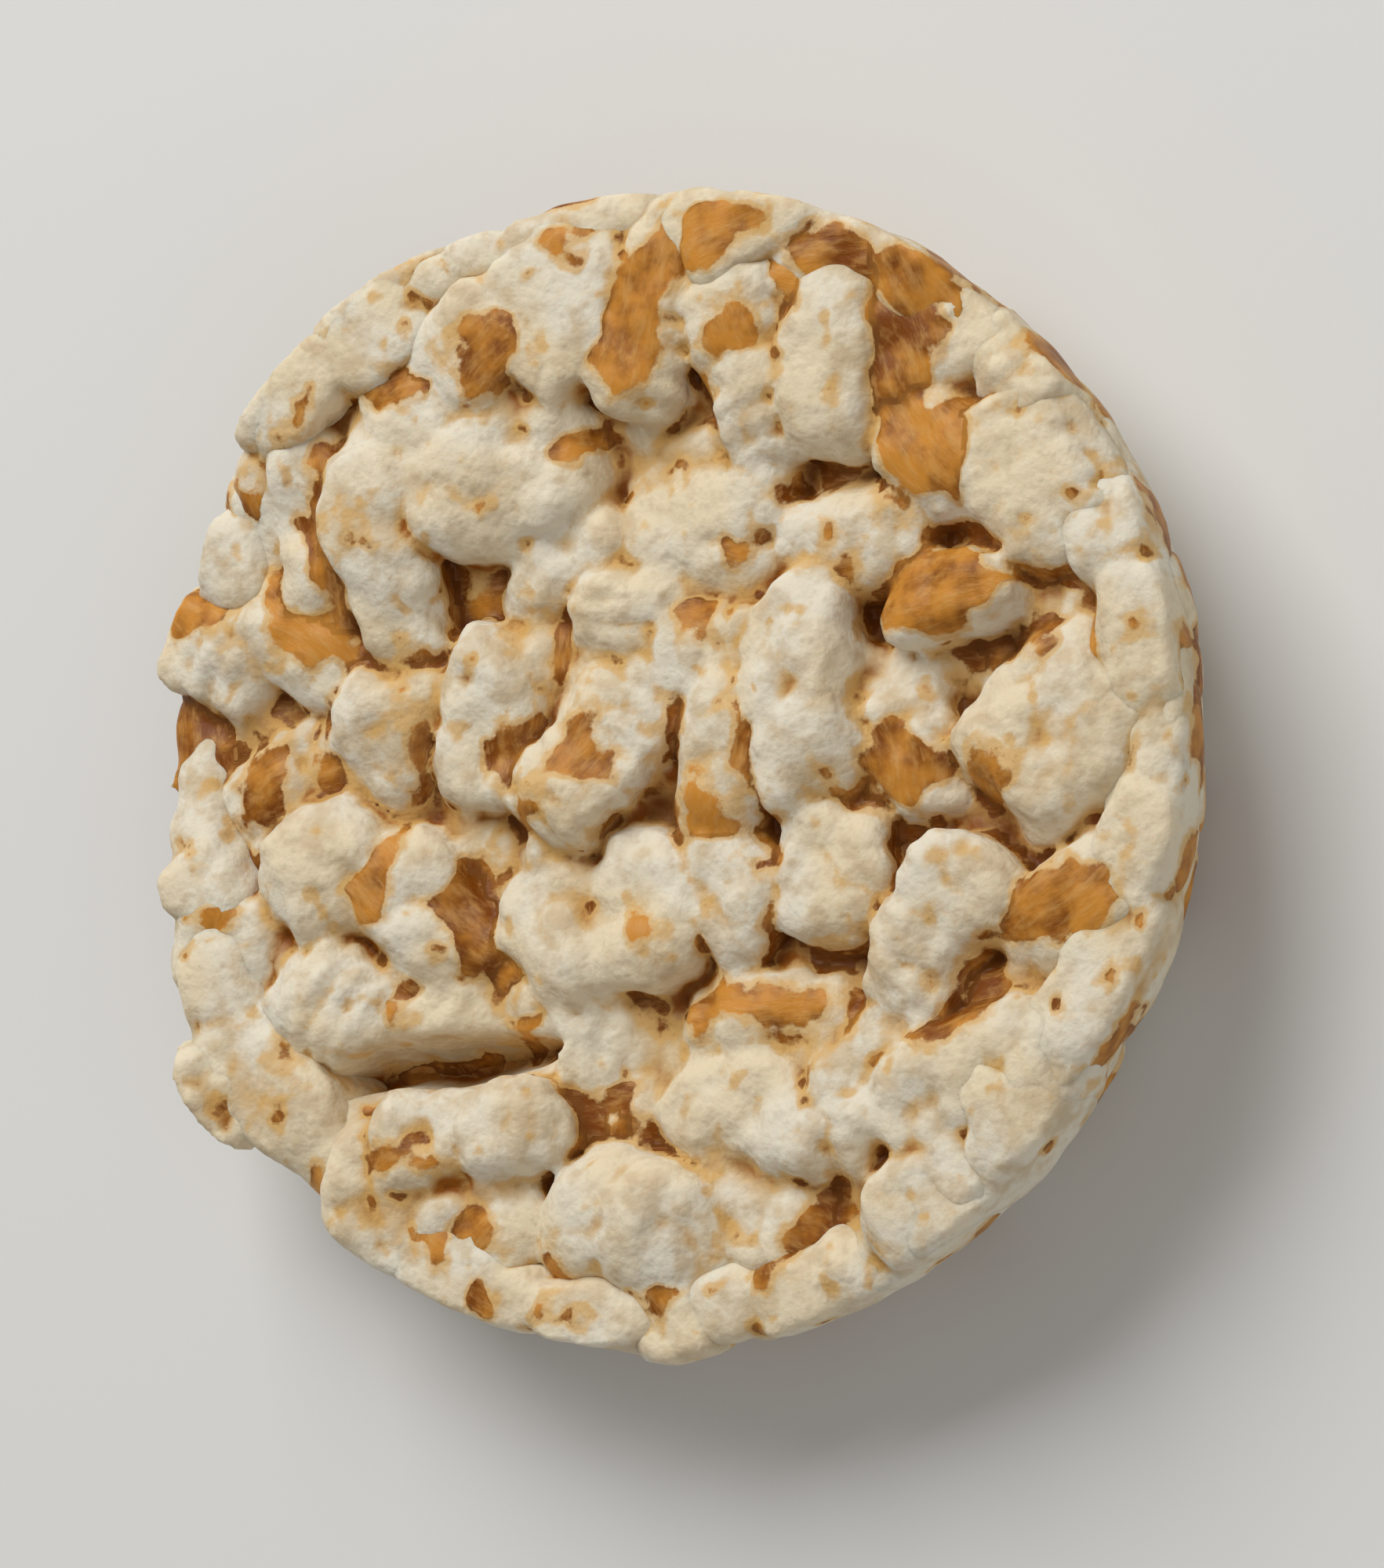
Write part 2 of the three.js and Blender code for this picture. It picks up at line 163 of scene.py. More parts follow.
# Bran that shows on the face: middle x and y, length, width, heading, and tone from 0, dark, to 1, pale.
FACE_COATS = [
    (-9.6, 22.1, 4.6, 1.6, -5, 0.5),
    (-3.2, 23.4, 3.6, 0.9, 15, 0.6),
    (0.3, 19.4, 7.6, 2.6, 70, 0.6),
    (7.2, 20.3, 5.6, 1.9, -10, 0.8),
    (4.4, 18.4, 3.6, 2.4, 20, 0.7),
    (3.2, 15.6, 4.2, 0.9, 100, 0.5),
    (12.5, 17.6, 4.6, 2.8, -40, 0.1),
    (13.6, 12.6, 6.0, 4.4, -35, 0.7),
    (14.2, 6.7, 6.6, 3.8, 2, 0.5),
    (17.8, 5.0, 5.4, 2.6, 30, 0.3),
    (16.2, -1.3, 3.6, 2.4, 90, 0.5),
    (19.4, -6.5, 6.0, 3.4, 25, 0.5),
    (23.7, -5.3, 3.2, 1.5, 80, 0.4),
    (14.6, -11.4, 4.2, 1.9, 10, 0.2),
    (5.5, -0.5, 5.8, 1.5, 108, 0.4),
    (3.2, -1.8, 4.4, 2.4, -55, 0.8),
    (11.8, -0.9, 4.8, 3.0, 95, 0.4),
    (-4.2, 6.0, 3.4, 1.5, 80, 0.6),
    (2.3, 6.1, 3.8, 1.9, -30, 0.6),
    (4.1, 9.1, 3.0, 1.6, -55, 0.7),
    (-2.8, 13.8, 2.8, 1.6, 40, 0.5),
    (-14.8, 10.4, 9.0, 1.7, 97, 0.5),
    (-11.6, 17.1, 4.4, 2.3, -15, 0.5),
    (-14.5, 18.2, 3.8, 1.4, 80, 0.2),
    (-6.8, 17.9, 4.2, 1.1, -20, 0.1),
    (-20.9, 12.7, 3.0, 1.8, 50, 0.2),
    (-22.2, 8.6, 3.6, 2.6, 40, 0.6),
    (-16.5, 7.2, 6.0, 2.7, -38, 0.9),
    (-11.2, 2.0, 4.6, 1.4, -70, 0.3),
    (-15.2, 1.3, 3.0, 0.8, 100, 0.4),
    (-6.2, 1.6, 4.2, 1.5, 75, 0.4),
    (-2.7, 1.2, 4.0, 1.9, 38, 0.4),
    (-5.0, -1.2, 3.4, 1.1, 60, 0.4),
    (-13.3, -4.1, 4.6, 2.2, 60, 0.6),
    (-8.3, -5.8, 5.4, 2.8, -60, 0.1),
    (-21.4, -5.1, 3.0, 1.6, 10, 0.5),
    (-11.5, -7.6, 1.8, 1.0, -20, 0.3),
    (-11.8, -9.8, 4.8, 3.0, -15, 0.5),
    (6.0, -9.9, 6.0, 2.0, 0, 0.6),
    (1.8, -10.6, 2.7, 1.5, -10, 0.4),
    (-12.0, -15.7, 4.2, 0.9, -5, 0.4),
    (-18.6, -13.6, 5.4, 3.0, -30, 0.7),
    (-8.2, -19.4, 4.6, 1.9, 12, 0.6),
    (-3.4, -21.1, 3.4, 1.3, -58, 0.4),
    (0.2, -7.4, 2.4, 1.3, -40, 1.3),
    (7.3, -18.9, 4.8, 1.7, 10, 0.2),
    (11.0, -15.5, 2.2, 1.1, -30, 0.4),
]

# Bran on the other kernels, drawn between these.
COAT_LENGTH = (3.2, 6.4)
COAT_WIDTH = (1.4, 3.4)
COAT_PLACE = 0.28  # of the kernel's length, either way from its middle
COAT_TURN = 25  # degrees from the kernel's own heading
COAT_TONE = (0.1, 0.9)
NO_COAT = 0.01  # a coat this long and wide shows nowhere

KERNEL = np.dtype([(name, float) for name in ("x", "y", "length", "width", "heading", "lift", "pitch")])


def smooth_step(low, high, value):
    """Runs from 0 at low to 1 at high, and is level at both ends."""
    share = np.clip((value - low) / (high - low), 0, 1)
    return share * share * (3 - 2 * share)


def between(ends, share):
    """The value that lies this share of the way from the first end to the second."""
    return ends[0] + (ends[1] - ends[0]) * share


def draws(seed):
    """Seeded draws from 0 to 1, by a linear congruential rule."""
    state = seed
    while True:
        state = (1664525 * state + 1013904223) % 4294967296
        yield state / 4294967296


def degrees_from(direction, angle):
    """How many degrees an angle in radians is away from a direction in degrees, either way round."""
    return np.abs((np.degrees(angle) - direction + 180) % 360 - 180)


def rim_share(angle):
    """1 where the rim is whole and 0 where it has crumbled, with a smooth step between."""
    return smooth_step(CRUMBLED_HALF, CRUMBLED_HALF + CRUMBLED_FADE, degrees_from(CRUMBLED_MIDDLE, angle))


def wall_radius(angle):
    """The mould's radius, plus two small waves round the cake where it sprang out uneven."""
    radius = CAKE_RADIUS
    for height, number, phase in WALL_WAVES:
        radius = radius + height * np.cos(number * angle + phase)
    return radius


def side_inset(height):
    """How far the mould's side is inside its full radius at this height."""
    return BASE_INSET * np.clip(1 - height / FLUSH_HEIGHT, 0, 1) ** SIDE_CURVE


def face_height(x, y):
    """Level in the middle, then a smooth climb to the edge, which is lower where the rim has crumbled."""
    edge = between((CRUMBLED_HEIGHT, RIM_HEIGHT), rim_share(np.arctan2(y, x)))
    return between((FLOOR_HEIGHT, edge), smooth_step(DISH_INNER, DISH_OUTER, np.hypot(x, y)))


def turned_to(heading, x, y):
    """How far a point is along a line with this heading in degrees, and how far to the left of it."""
    turn = radians(heading)
    return x * cos(turn) + y * sin(turn), y * cos(turn) - x * sin(turn)


def covers(kernel, share, x, y):
    """True if the point is inside the kernel's footprint, grown to this share of its size."""
    along, across = turned_to(kernel[4], x - kernel[0], y - kernel[1])
    return hypot(along / kernel[2], across / kernel[3]) < share / 2


def drawn_kernel(draw, x, y, length=KERNEL_LENGTH, width=KERNEL_WIDTH, lift=KERNEL_LIFT):
    """A kernel at this place, with its sizes, heading, lift and pitch drawn in that order."""
    return (
        x,
        y,
        between(length, next(draw)),
        between(width, next(draw)),
        180 * next(draw),
        between(lift, next(draw)),
        KERNEL_PITCH * (2 * next(draw) - 1),
    )


def fill_disc(kernels, draw, spots, fill_radius, cover, **sizes):
    """Goes along a sunflower spiral and adds a kernel on each spot that is still bare."""
    for spot in range(spots):
        radius = fill_radius * sqrt((spot + 0.5) / spots)
        x = radius * cos(spot * GOLDEN_ANGLE)
        y = radius * sin(spot * GOLDEN_ANGLE)
        if not any(covers(kernel, cover, x, y) for kernel in kernels):
            kernels.append(drawn_kernel(draw, x, y, **sizes))


def in_notch(x, y, margin):
    """True in the strip of the wall that the notch takes away, grown by a margin."""
    outward, sideways = turned_to(NOTCH_ANGLE, x, y)
    return (outward > CAKE_RADIUS - NOTCH_REACH - margin) & (np.abs(sideways) < NOTCH_WIDTH / 2 + margin)


def table_of(kernels):
    """The kernels as a table with named columns, without any whose middle is in the notch."""
    table = np.array([tuple(kernel) for kernel in kernels], KERNEL)
    return table[~in_notch(table["x"], table["y"], margin=0.4)]


def slope_under(kernels, height):
    """The slope in degrees, along each kernel's heading, of the surface that it lies on."""
    half_x = kernels["length"] / 2 * np.cos(np.radians(kernels["heading"]))
    half_y = kernels["length"] / 2 * np.sin(np.radians(kernels["heading"]))
    front = height(kernels["x"] + half_x, kernels["y"] + half_y)
    back = height(kernels["x"] - half_x, kernels["y"] - half_y)
    return np.degrees(np.arctan2(front - back, kernels["length"]))


def cell_draw(cell, channel):
    """A repeatable draw from 0 to 1 for each whole-number cell, by stirring the bits of its indices."""
    x, y, z = np.moveaxis(cell.astype(np.int64).astype(np.uint32), -1, 0)
    bits = x * 0x8DA6B343 ^ y * 0xD8163841 ^ z * 0xCB1AB31F ^ np.uint32(channel * 0x3779B9)
    for shift, factor in ((15, 0x2C1B3C6D), (12, 0x297A2D39)):
        bits = (bits ^ bits >> shift) * np.uint32(factor)
    return (bits ^ bits >> 15) / 2**32


def soft_noise(place, size):
    """Noise from -1 to 1: draws at the corners of cells of this size, blended smoothly across each cell."""
    corner = np.floor(place / size)
    share = smooth_step(0, 1, place / size - corner)
    total = 0
    for step in np.ndindex(2, 2, 2):
        weight = np.prod(np.where(step, share, 1 - share), axis=-1)
        total = total + weight * cell_draw(corner + step, 0)
    return 2 * total - 1


def lobes(place, size):
    """Rounded lumps from 0 in their creases to 1 on top: one less the squared distance, in cells, to the
    nearest of a set of points strewn one to a cell."""
    corner = np.floor(place / size)
    share = place / size - corner
    nearest = np.full(place.shape[:-1], 9.0)
    for step in np.ndindex(3, 3, 3):
        cell = corner + step - 1
        point = np.stack([cell_draw(cell, channel) for channel in (1, 2, 3)], axis=-1)
        nearest = np.minimum(nearest, np.sum((point + step - 1 - share) ** 2, axis=-1))
    return 1 - np.clip(nearest, 0, 1)


def coat_field(coats, along, around, girth):
    """How far, in millimetres, each point is inside the edge of the nearest coat, and that coat's tone. A
    coat is a leaf: its half width shrinks with the square of the distance from its middle."""
    inside = np.full(np.broadcast(along, around).shape, -9.0)
    tone = np.zeros_like(inside)
    for slot in range(coats.shape[1]):
        middle, bearing, length, width, turn, shade = coats[:, slot, :, None, None].transpose(1, 0, 2, 3)
        offset = along - middle
        sideways = ((around - bearing + pi) % (2 * pi) - pi) * girth
        p = offset * np.cos(turn) + sideways * np.sin(turn)
        q = sideways * np.cos(turn) - offset * np.sin(turn)
        leaf = width / 2 * (1 - (2 * p / length) ** 2) - np.abs(q)
        tone = np.where(leaf > inside, shade, tone)
        inside = np.maximum(inside, leaf)
    return inside, tone


def popped_kernels(kernels, coats, rings, sides, seed, lining=(-0.8, 0.5)):
    """Each kernel is an ellipsoid, squared off a little, tapered and bent along its length, with large and
    small foam lobes pushed out of it. Besides its coats it has bran on its underside, up to a height drawn
    between these two shares of its half thickness. Gives local points in rows from tail to tip, and the
    fields that its material needs."""
    chance = np.random.default_rng(seed)
    tail_to_tip = np.linspace(0, pi, rings)[:, None]
    turn = np.linspace(0, 2 * pi, sides, endpoint=False)[None, :]
    around = turn + 0.45 * np.cos(turn)  # closer together on the upper side
    x = -np.cos(tail_to_tip) + 0 * around
    y = np.sin(tail_to_tip) * np.cos(around)
    z = np.sin(tail_to_tip) * np.sin(around)
    square = (np.abs(x) ** 3 + np.abs(y) ** 3 + np.abs(z) ** 3) ** (-1 / 3)
    unit = np.stack([x, y, z], axis=-1) * square[..., None]

    # Plain ellipsoids, each with its own stretch of noise, and the lobes of their foam.
    count = len(kernels)
    width = kernels["width"]
    half = np.stack([kernels["length"], width, KERNEL_FLATNESS * width], axis=-1) / 2 - KERNEL_TRIM
    points = unit * half[:, None, None, :]
    normal = unit / half[:, None, None, :]
    normal /= np.linalg.norm(normal, axis=-1, keepdims=True)
    place = points + chance.uniform(-900, 900, (count, 1, 1, 3))
    wide, fine = soft_noise(place, 2.2), soft_noise(place, GRIT)
    big = lobes(place + 0.7 * wide[..., None], BIG_LOBE)
    small = lobes(place + 0.4 * soft_noise(place, 1.1)[..., None], SMALL_LOBE)

    # How far each point is inside its coats or the lining, whose edges wander with the noise.
    girth = 0.46 * width[:, None, None]  # millimetres for each radian round the kernel
    along = points[..., 0] + 0.7 * wide
    inside, tone = coat_field(coats, along, around + 0.5 * soft_noise(place, 1.3) / girth, girth)
    inside = inside + 0.15 + BRAN_IN_CREASES * (0.72 - big) + 0.15 * fine
    low = chance.uniform(*lining, (count, 1, 1)) - unit[..., 2] + 0.9 * soft_noise(place, 2.9) + 0.15 * fine
    tone = np.where(low > inside, 0.35 + 0.35 * wide, tone)
    inside = np.maximum(inside, low)
    coated = smooth_step(-0.15, 0.3, inside)

    # How far foam and bran stand out, and then the taper and the bend.
    ridges = np.sin(place[..., 0] * 2 * pi / RIDGE + 1.5 * soft_noise(place, 2.5))
    wrinkled = chance.choice([0, 0, 1], (count, 1, 1)) * RIDGE_RISE
    swell = BIG_RISE * (big - 0.7) + 0.25 * soft_noise(place, 2.6)
    foam = swell + SMALL_RISE * (small - 0.6) + wrinkled * ridges + GRIT_RISE * fine
    skin = BRAN_BIG_SHARE * swell + BRAN_SMALL_RISE * (small - 0.6) + BRAN_PROUD + BRAN_GRIT_RISE * fine
    points = points + normal * between((foam, skin), coated)[..., None]
    share = points[..., :1] / half[:, None, None, :1]
    taper = chance.uniform(-KERNEL_TAPER, KERNEL_TAPER, (count, 1, 1, 1))
    bend = chance.uniform(-KERNEL_BEND, KERNEL_BEND, (count, 1, 1, 1))
    points[..., 1:] *= 1 + taper * share
    points[..., 1:2] += bend * share**2
    fields = {"inside": inside, "tone": tone, "grain": points + 40 * np.arange(count)[:, None, None, None]}
    return points, fields


def lying(points, kernels, z, pitch):
    """Turns each kernel nose-up by its pitch, then to its heading, and moves it to its place."""
    columns = (np.radians(pitch), np.radians(kernels["heading"]), kernels["x"], kernels["y"], z)
    pitch, heading, x, y, z = (column[:, None, None] for column in columns)
    ahead, aside, up = np.moveaxis(points, -1, 0)
    level = ahead * np.cos(pitch) - up * np.sin(pitch)
    x = level * np.cos(heading) - aside * np.sin(heading) + x
    y = level * np.sin(heading) + aside * np.cos(heading) + y
    z = ahead * np.sin(pitch) + up * np.cos(pitch) + z
    return np.stack([x, y, z], axis=-1)


def yielding(value, limit, give=0.5):
    """A value that nears the limit more and more slowly once it is within this give of it."""
    over = np.maximum(value - limit + give, 0)
    return np.minimum(value, limit - give * np.exp(-over / give))


def pressed(points, slack):
    """Foam that would reach past the mould stops at it, less a little slack: the round wall, the curve
    under it, the flat base, and the top of the rim. Where the rim has crumbled the edge is ragged, and the
    nose is a bell-shaped bulge of it. In the end nothing leaves the solid's box."""
    warp = np.stack([soft_noise(points + shift, WARP_SIZE) for shift in (100, 200, 300)], axis=-1)
    x, y, z = np.moveaxis(points + WARP * warp, -1, 0)
    radius, angle = np.hypot(x, y), np.arctan2(y, x)
    slack = slack + 0.1 + 0.1 * soft_noise(points, 0.9)
    ragged = (1 - rim_share(angle)) * (0.1 + RAGGED * soft_noise(points, RAGGED_SIZE))
    nose = NOSE_REACH * np.exp(-((degrees_from(NOSE_ANGLE, angle) / NOSE_SPREAD) ** 2))
    limit = wall_radius(angle) - side_inset(z) - slack - ragged + nose
    shrink = yielding(radius, limit) / radius
    z = yielding(z, RIM_HEIGHT + 0.3 - slack)
    z = -yielding(-z, 0.1 - slack)
    low, high = 1000 * np.array(cad_box)
    return np.clip(np.stack([x * shrink, y * shrink, z], axis=-1), low + BOX_MARGIN, high - BOX_MARGIN)


def sunk_in_crevice(points):
    """Foam in the crevice sinks under its floor, the lower half of an ellipsoid that lies along it."""
    x, y, z = np.moveaxis(points, -1, 0)
    middle_x, middle_y, length, _, heading, _ = CREVICE
    along, across = turned_to(heading, x - middle_x, y - middle_y)
    reach = np.hypot(along / length, (across + 0.5 * soft_noise(points, 2.6)) / CREVICE_OPENING) * 2
    floor = face_height(middle_x, middle_y) - CREVICE_DEPTH * np.sqrt(np.clip(1 - reach**2, 0, 1))
    return np.stack([x, y, np.where(reach < 1, yielding(z, floor, 0.3), z)], axis=-1)


def random_coats(kernels, seed, per_kernel=2, likely=0.62):
    """Bran on kernels at random: leaves that lie roughly along the kernel, anywhere round it. Each has its
    place along the kernel, bearing, length, width, turn and tone."""
    chance = np.random.default_rng(seed)
    count = (len(kernels), per_kernel)
    there = chance.random(count) < likely
    columns = [
        chance.uniform(-COAT_PLACE, COAT_PLACE, count) * kernels["length"][:, None],
        chance.uniform(0, 2 * pi, count),
        np.where(there, chance.uniform(*COAT_LENGTH, count), NO_COAT),
        np.where(there, chance.uniform(*COAT_WIDTH, count), NO_COAT),
        np.radians(chance.uniform(-COAT_TURN, COAT_TURN, count)),
        chance.uniform(*COAT_TONE, count),
    ]
    return np.stack(columns, axis=-1)


def coats_from_above(kernels, coats, slots=3):
    """Puts each coat, given as seen from above, on the kernel whose footprint it is deepest in. Its place
    across the kernel becomes a bearing round it."""
    placed = np.full((len(kernels), slots, 6), NO_COAT)
    used = np.zeros(len(kernels), int)
    headings = np.radians(kernels["heading"])
    for x, y, length, width, heading, tone in coats:
        along = (x - kernels["x"]) * np.cos(headings) + (y - kernels["y"]) * np.sin(headings)
        across = (y - kernels["y"]) * np.cos(headings) - (x - kernels["x"]) * np.sin(headings)
        nearest = np.argmin(np.hypot(along / kernels["length"], across / kernels["width"]))
        if used[nearest] < slots:
            bearing = np.arccos(np.clip(2 * across[nearest] / kernels["width"][nearest], -0.95, 0.95))
            turn = -(radians(heading) - headings[nearest])
            placed[nearest, used[nearest]] = (along[nearest], bearing, length, width, turn, tone)
            used[nearest] += 1
    return placed


def grow_kernels(kernels, height, side, coats, seed, rings, sides, slack):
    """Grows kernels that lie along the face, with side 1, or the back, with side -1, in the mould."""
    points, fields = popped_kernels(kernels, coats, rings, sides, seed)
    surface = height(kernels["x"], kernels["y"])
    thickness = KERNEL_FLATNESS * kernels["width"]
    lift = FACE_RELIEF * kernels["lift"] - FACE_SINK if side > 0 else -kernels["lift"] / 2
    pitch = kernels["pitch"] + slope_under(kernels, height)
    placed = lying(points * (1, side, side), kernels, surface + lift - side * thickness / 2, pitch)
    chance = np.random.default_rng(seed + 1)
    placed = pressed(placed, chance.uniform(0, slack, (len(kernels), 1, 1)))
    grown.append((sunk_in_crevice(placed) if side > 0 else placed, fields))


grown = []
draw = draws(SEED)
face_rows = [(*row, 0.0) for row in FACE_KERNELS]
face_rows.append((*CREVICE, 0.0))
fill_disc(face_rows, draw, spots=420, fill_radius=22.6, cover=1.22)
face_rows.remove((*CREVICE, 0.0))
face = table_of(face_rows)

face_coats = coats_from_above(face, FACE_COATS)
listed = len(FACE_KERNELS)
face_coats[listed:, 1:] = random_coats(face, seed=5)[listed:]
grow_kernels(face, face_height, 1, face_coats, seed=13, rings=60, sides=60, slack=0.15)

# ---- Small pieces between the face's kernels ----
# Broken kernels, and the ends of kernels deeper down, which show in the gaps between the large ones. The
# crevice stays free of them too, but a little less widely.

SMALL_SIZES = {"length": (3.0, 5.2), "width": (2.6, 3.8), "lift": (-1.9, -0.7)}
SMALL_CREVICE_WIDTH = 2.4

small_rows = [*face_rows, (*CREVICE[:3], SMALL_CREVICE_WIDTH, *CREVICE[4:], 0.0)]
taken = len(small_rows)
fill_disc(small_rows, draws(SEED + 1), spots=900, fill_radius=23.4, cover=0.88, **SMALL_SIZES)
small = table_of(small_rows[taken:])
small_coats = random_coats(small, seed=9, likely=0.8)
grow_kernels(small, face_height, 1, small_coats, seed=31, rings=24, sides=24, slack=0.3)

# ---- The kernel in the notch ----
# Where the wall has its bite, one whole kernel sits low down between its neighbours. A coat of dark bran,
# larger than the kernel itself, wraps nearly all of it.

low_kernel = np.array([(-22.1, 2.1, 6.2, 4.8, 100, -1.0, 0)], KERNEL)
low_coat = np.array([[(0.0, pi / 2, 16, 16, 0, 0.1)]])
grow_kernels(low_kernel, face_height, 1, low_coat, seed=35, rings=48, sides=48, slack=0.1)

# ---- The core ----
# The foam under and between the kernels, where they have run together. Painted shade turns it brown in the
# gaps. It is a dish whose edge is smooth where it carries the rim, and lumpy elsewhere.

CORE_UNDERSIDE = 1.9
CORE_TOP_DEPTH = 1.8
CORE_WALL_GAP = 0.45
CORE_BIG_LOBE, CORE_BIG_RISE = 2.4, 0.7
CORE_SMALL_LOBE, CORE_SMALL_RISE = 1.0, 0.25
CHIP = 4.2  # how far apart the core's patches of bran are
LIP_WIDTH = 1.5
LIP_MIDDLE = 28  # degrees; the lip is the smooth edge under the rim's kernels
LIP_HALF = 70
LIP_FADE = 12
NOTCH_OUTSET = 0.3  # the notch's ellipsoid stands this far outside the wall
NOTCH_MIDDLE_HEIGHT = 8
NOTCH_HALF_HEIGHT = 12


def lip_share(angle):
    """1 along the smooth lip and 0 elsewhere, with a smooth step between."""
    return smooth_step(LIP_HALF + LIP_FADE, LIP_HALF, degrees_from(LIP_MIDDLE, angle))


def along_profile(corners, step):
    """Points at about this spacing along straight runs between the corners, each corner kept."""
    corners = np.array(corners, float)
    runs = []
    for start, end in zip(corners[:-1], corners[1:]):
        count = max(1, round(np.hypot(*(end - start)) / step))
        runs.append(start + (end - start) * np.arange(count)[:, None] / count)
    return np.concatenate([*runs, corners[-1:]])


def clear_of_notch(points):
    """Foam inside the notch, an upright ellipsoid, moves level and straight out from its axis to its side."""
    x, y, z = np.moveaxis(points, -1, 0)
    outward, sideways = turned_to(NOTCH_ANGLE, x, y)
    outward = (outward - CAKE_RADIUS - NOTCH_OUTSET) / NOTCH_REACH
    sideways = sideways / (NOTCH_WIDTH / 2)
    reach = np.hypot(outward, sideways)
    limit = np.sqrt(np.clip(1 - ((z - NOTCH_MIDDLE_HEIGHT) / NOTCH_HALF_HEIGHT) ** 2, 0, 1))
    grow = np.maximum(reach, limit) / np.maximum(reach, 1e-6)
    outward = outward * grow * NOTCH_REACH + CAKE_RADIUS + NOTCH_OUTSET
    sideways = sideways * grow * NOTCH_WIDTH / 2
    return np.stack([*turned_to(-NOTCH_ANGLE, outward, sideways), z], axis=-1)


def core_points(columns):
    """A dish turned from a profile. Its edge sinks where the rim has crumbled, and all of it but the smooth
    lip is raised in lobes."""
    wall = CAKE_RADIUS - CORE_WALL_GAP
    floor = FLOOR_HEIGHT - CORE_TOP_DEPTH
    low = CORE_UNDERSIDE
    profile = along_profile(
        [
            (0, low),
            (15.5, low),
            (20.2, low + 1.4),
            (22.9, low + 3.3),
            (wall, FLUSH_HEIGHT + 0.2),
            (wall, RIM_HEIGHT - 1.3),
            (wall - 0.35, RIM_HEIGHT - 0.9),
            (wall - LIP_WIDTH, RIM_HEIGHT - 0.8),
            (wall - 3, RIM_HEIGHT - CORE_TOP_DEPTH),
            (DISH_INNER, floor),
            (0, floor),
        ],
        step=0.5,
    )
    angle = np.linspace(0, 2 * pi, columns, endpoint=False)
    radius = profile[:, :1] * wall_radius(angle) / CAKE_RADIUS
    height = profile[:, 1:] + 0 * angle
    crumbled = (1 - rim_share(angle)) * smooth_step(DISH_INNER, DISH_OUTER, profile[:, :1])
    height = between((height, np.minimum(height, CRUMBLED_HEIGHT - CORE_TOP_DEPTH)), crumbled)
    height = between((np.minimum(height, RIM_HEIGHT - CORE_TOP_DEPTH), height), lip_share(angle))
    points = np.stack([radius * np.cos(angle), radius * np.sin(angle), height], axis=-1)
    lumps = CORE_BIG_RISE * (lobes(points, CORE_BIG_LOBE) - 0.6)
    lumps = lumps + CORE_SMALL_RISE * (lobes(points, CORE_SMALL_LOBE) - 0.6)
    lumpy = smooth_step(0.6, 2.4, np.abs(radius - wall)) + (1 - lip_share(angle))
    points[..., 2] += lumps * np.clip(lumpy, 0.08, 1)
    return sunk_in_crevice(clear_of_notch(points))[None]


core = core_points(columns=320)
chips = lobes(core / (1, 1, 0.8) + 0.8 * soft_noise(core, 2.2)[..., None], CHIP)
core_fields = {
    "grain": core,
    "inside": (chips - 0.86) * 3 + 0.4 * soft_noise(core, 1.4),
    "tone": 0.5 + 0.5 * soft_noise(core, 3.5),
}
grown.append((core, core_fields))

# ---- The fused face ----
# Where they touch, the kernels, the small pieces and the core have run together into one skin: dry white
# foam with shreds of satin orange-brown bran. Deep in its gaps painted shade turns it golden to dark brown.

FOAM_WHITE = (0.76, 0.70, 0.57, 1)
FOAM_CREAM = (0.76, 0.65, 0.46, 1)
FOAM_MOTTLE = (0.59, 0.46, 0.29, 1)
FOAM_BUBBLE = (0.52, 0.42, 0.29, 1)
# Golden and then brown painted shade for the foam's creases and gaps.
FOAM_GOLDEN_SHADE = (0.60, 0.37, 0.13, 1)
FOAM_BROWN_SHADE = (0.32, 0.095, 0.003, 1)
FOAM_BY_BRAN = (0.66, 0.40, 0.13, 1)
BRAN_DARK = (0.20, 0.053, 0.002, 1)
BRAN_BRIGHT = (0.60, 0.255, 0.035, 1)
BRAN_STREAK = (0.63, 0.35, 0.11, 1)
# Dark brown painted shade for the deepest gaps.
DEEP_BROWN_SHADE = (0.13, 0.034, 0.001, 1)
BUBBLE = 0.5
STREAK_WIDTH = 0.42
STREAK_STRETCH = (0.28, 1, 1)
BRAN_ROUGHNESS = 0.42

FIELDS = {"inside": ("FLOAT", "value"), "tone": ("FLOAT", "value"), "grain": ("FLOAT_VECTOR", "vector")}
FIELD_BLUR = {"inside": 2, "tone": 2, "grain": 0}  # rounds; a blurred grain would streak across seams
HOLLOWS = {"crease": 8, "gap": 70}  # rounds of blur that make the surroundings, near and wide
SEALED_BUBBLE = 9000.0  # a skin with fewer points is the inside of a hollow that nothing shows


def grid_faces(count, rows, columns):
    """The quads of closed grids whose columns wrap round, and the triangles that shut each one's two poles.
    A grid's vertices are its first pole, its inner rows, and its last pole."""
    size = (rows - 2) * columns + 2
    inner = 1 + np.arange(rows - 2)[:, None] * columns + np.arange(columns)
    after = np.roll(inner, -1, axis=1)
    quads = np.stack([inner[:-1], after[:-1], after[1:], inner[1:]], axis=-1).reshape(-1, 4)
    first = np.stack([np.zeros(columns, int), after[0], inner[0]], axis=-1)
    last = np.stack([np.full(columns, size - 1), inner[-1], after[-1]], axis=-1)
    start = size * np.arange(count)[:, None, None]
    fans = np.concatenate([first, last])
    return (quads + start).reshape(-1, 4), (fans + start).reshape(-1, 3)


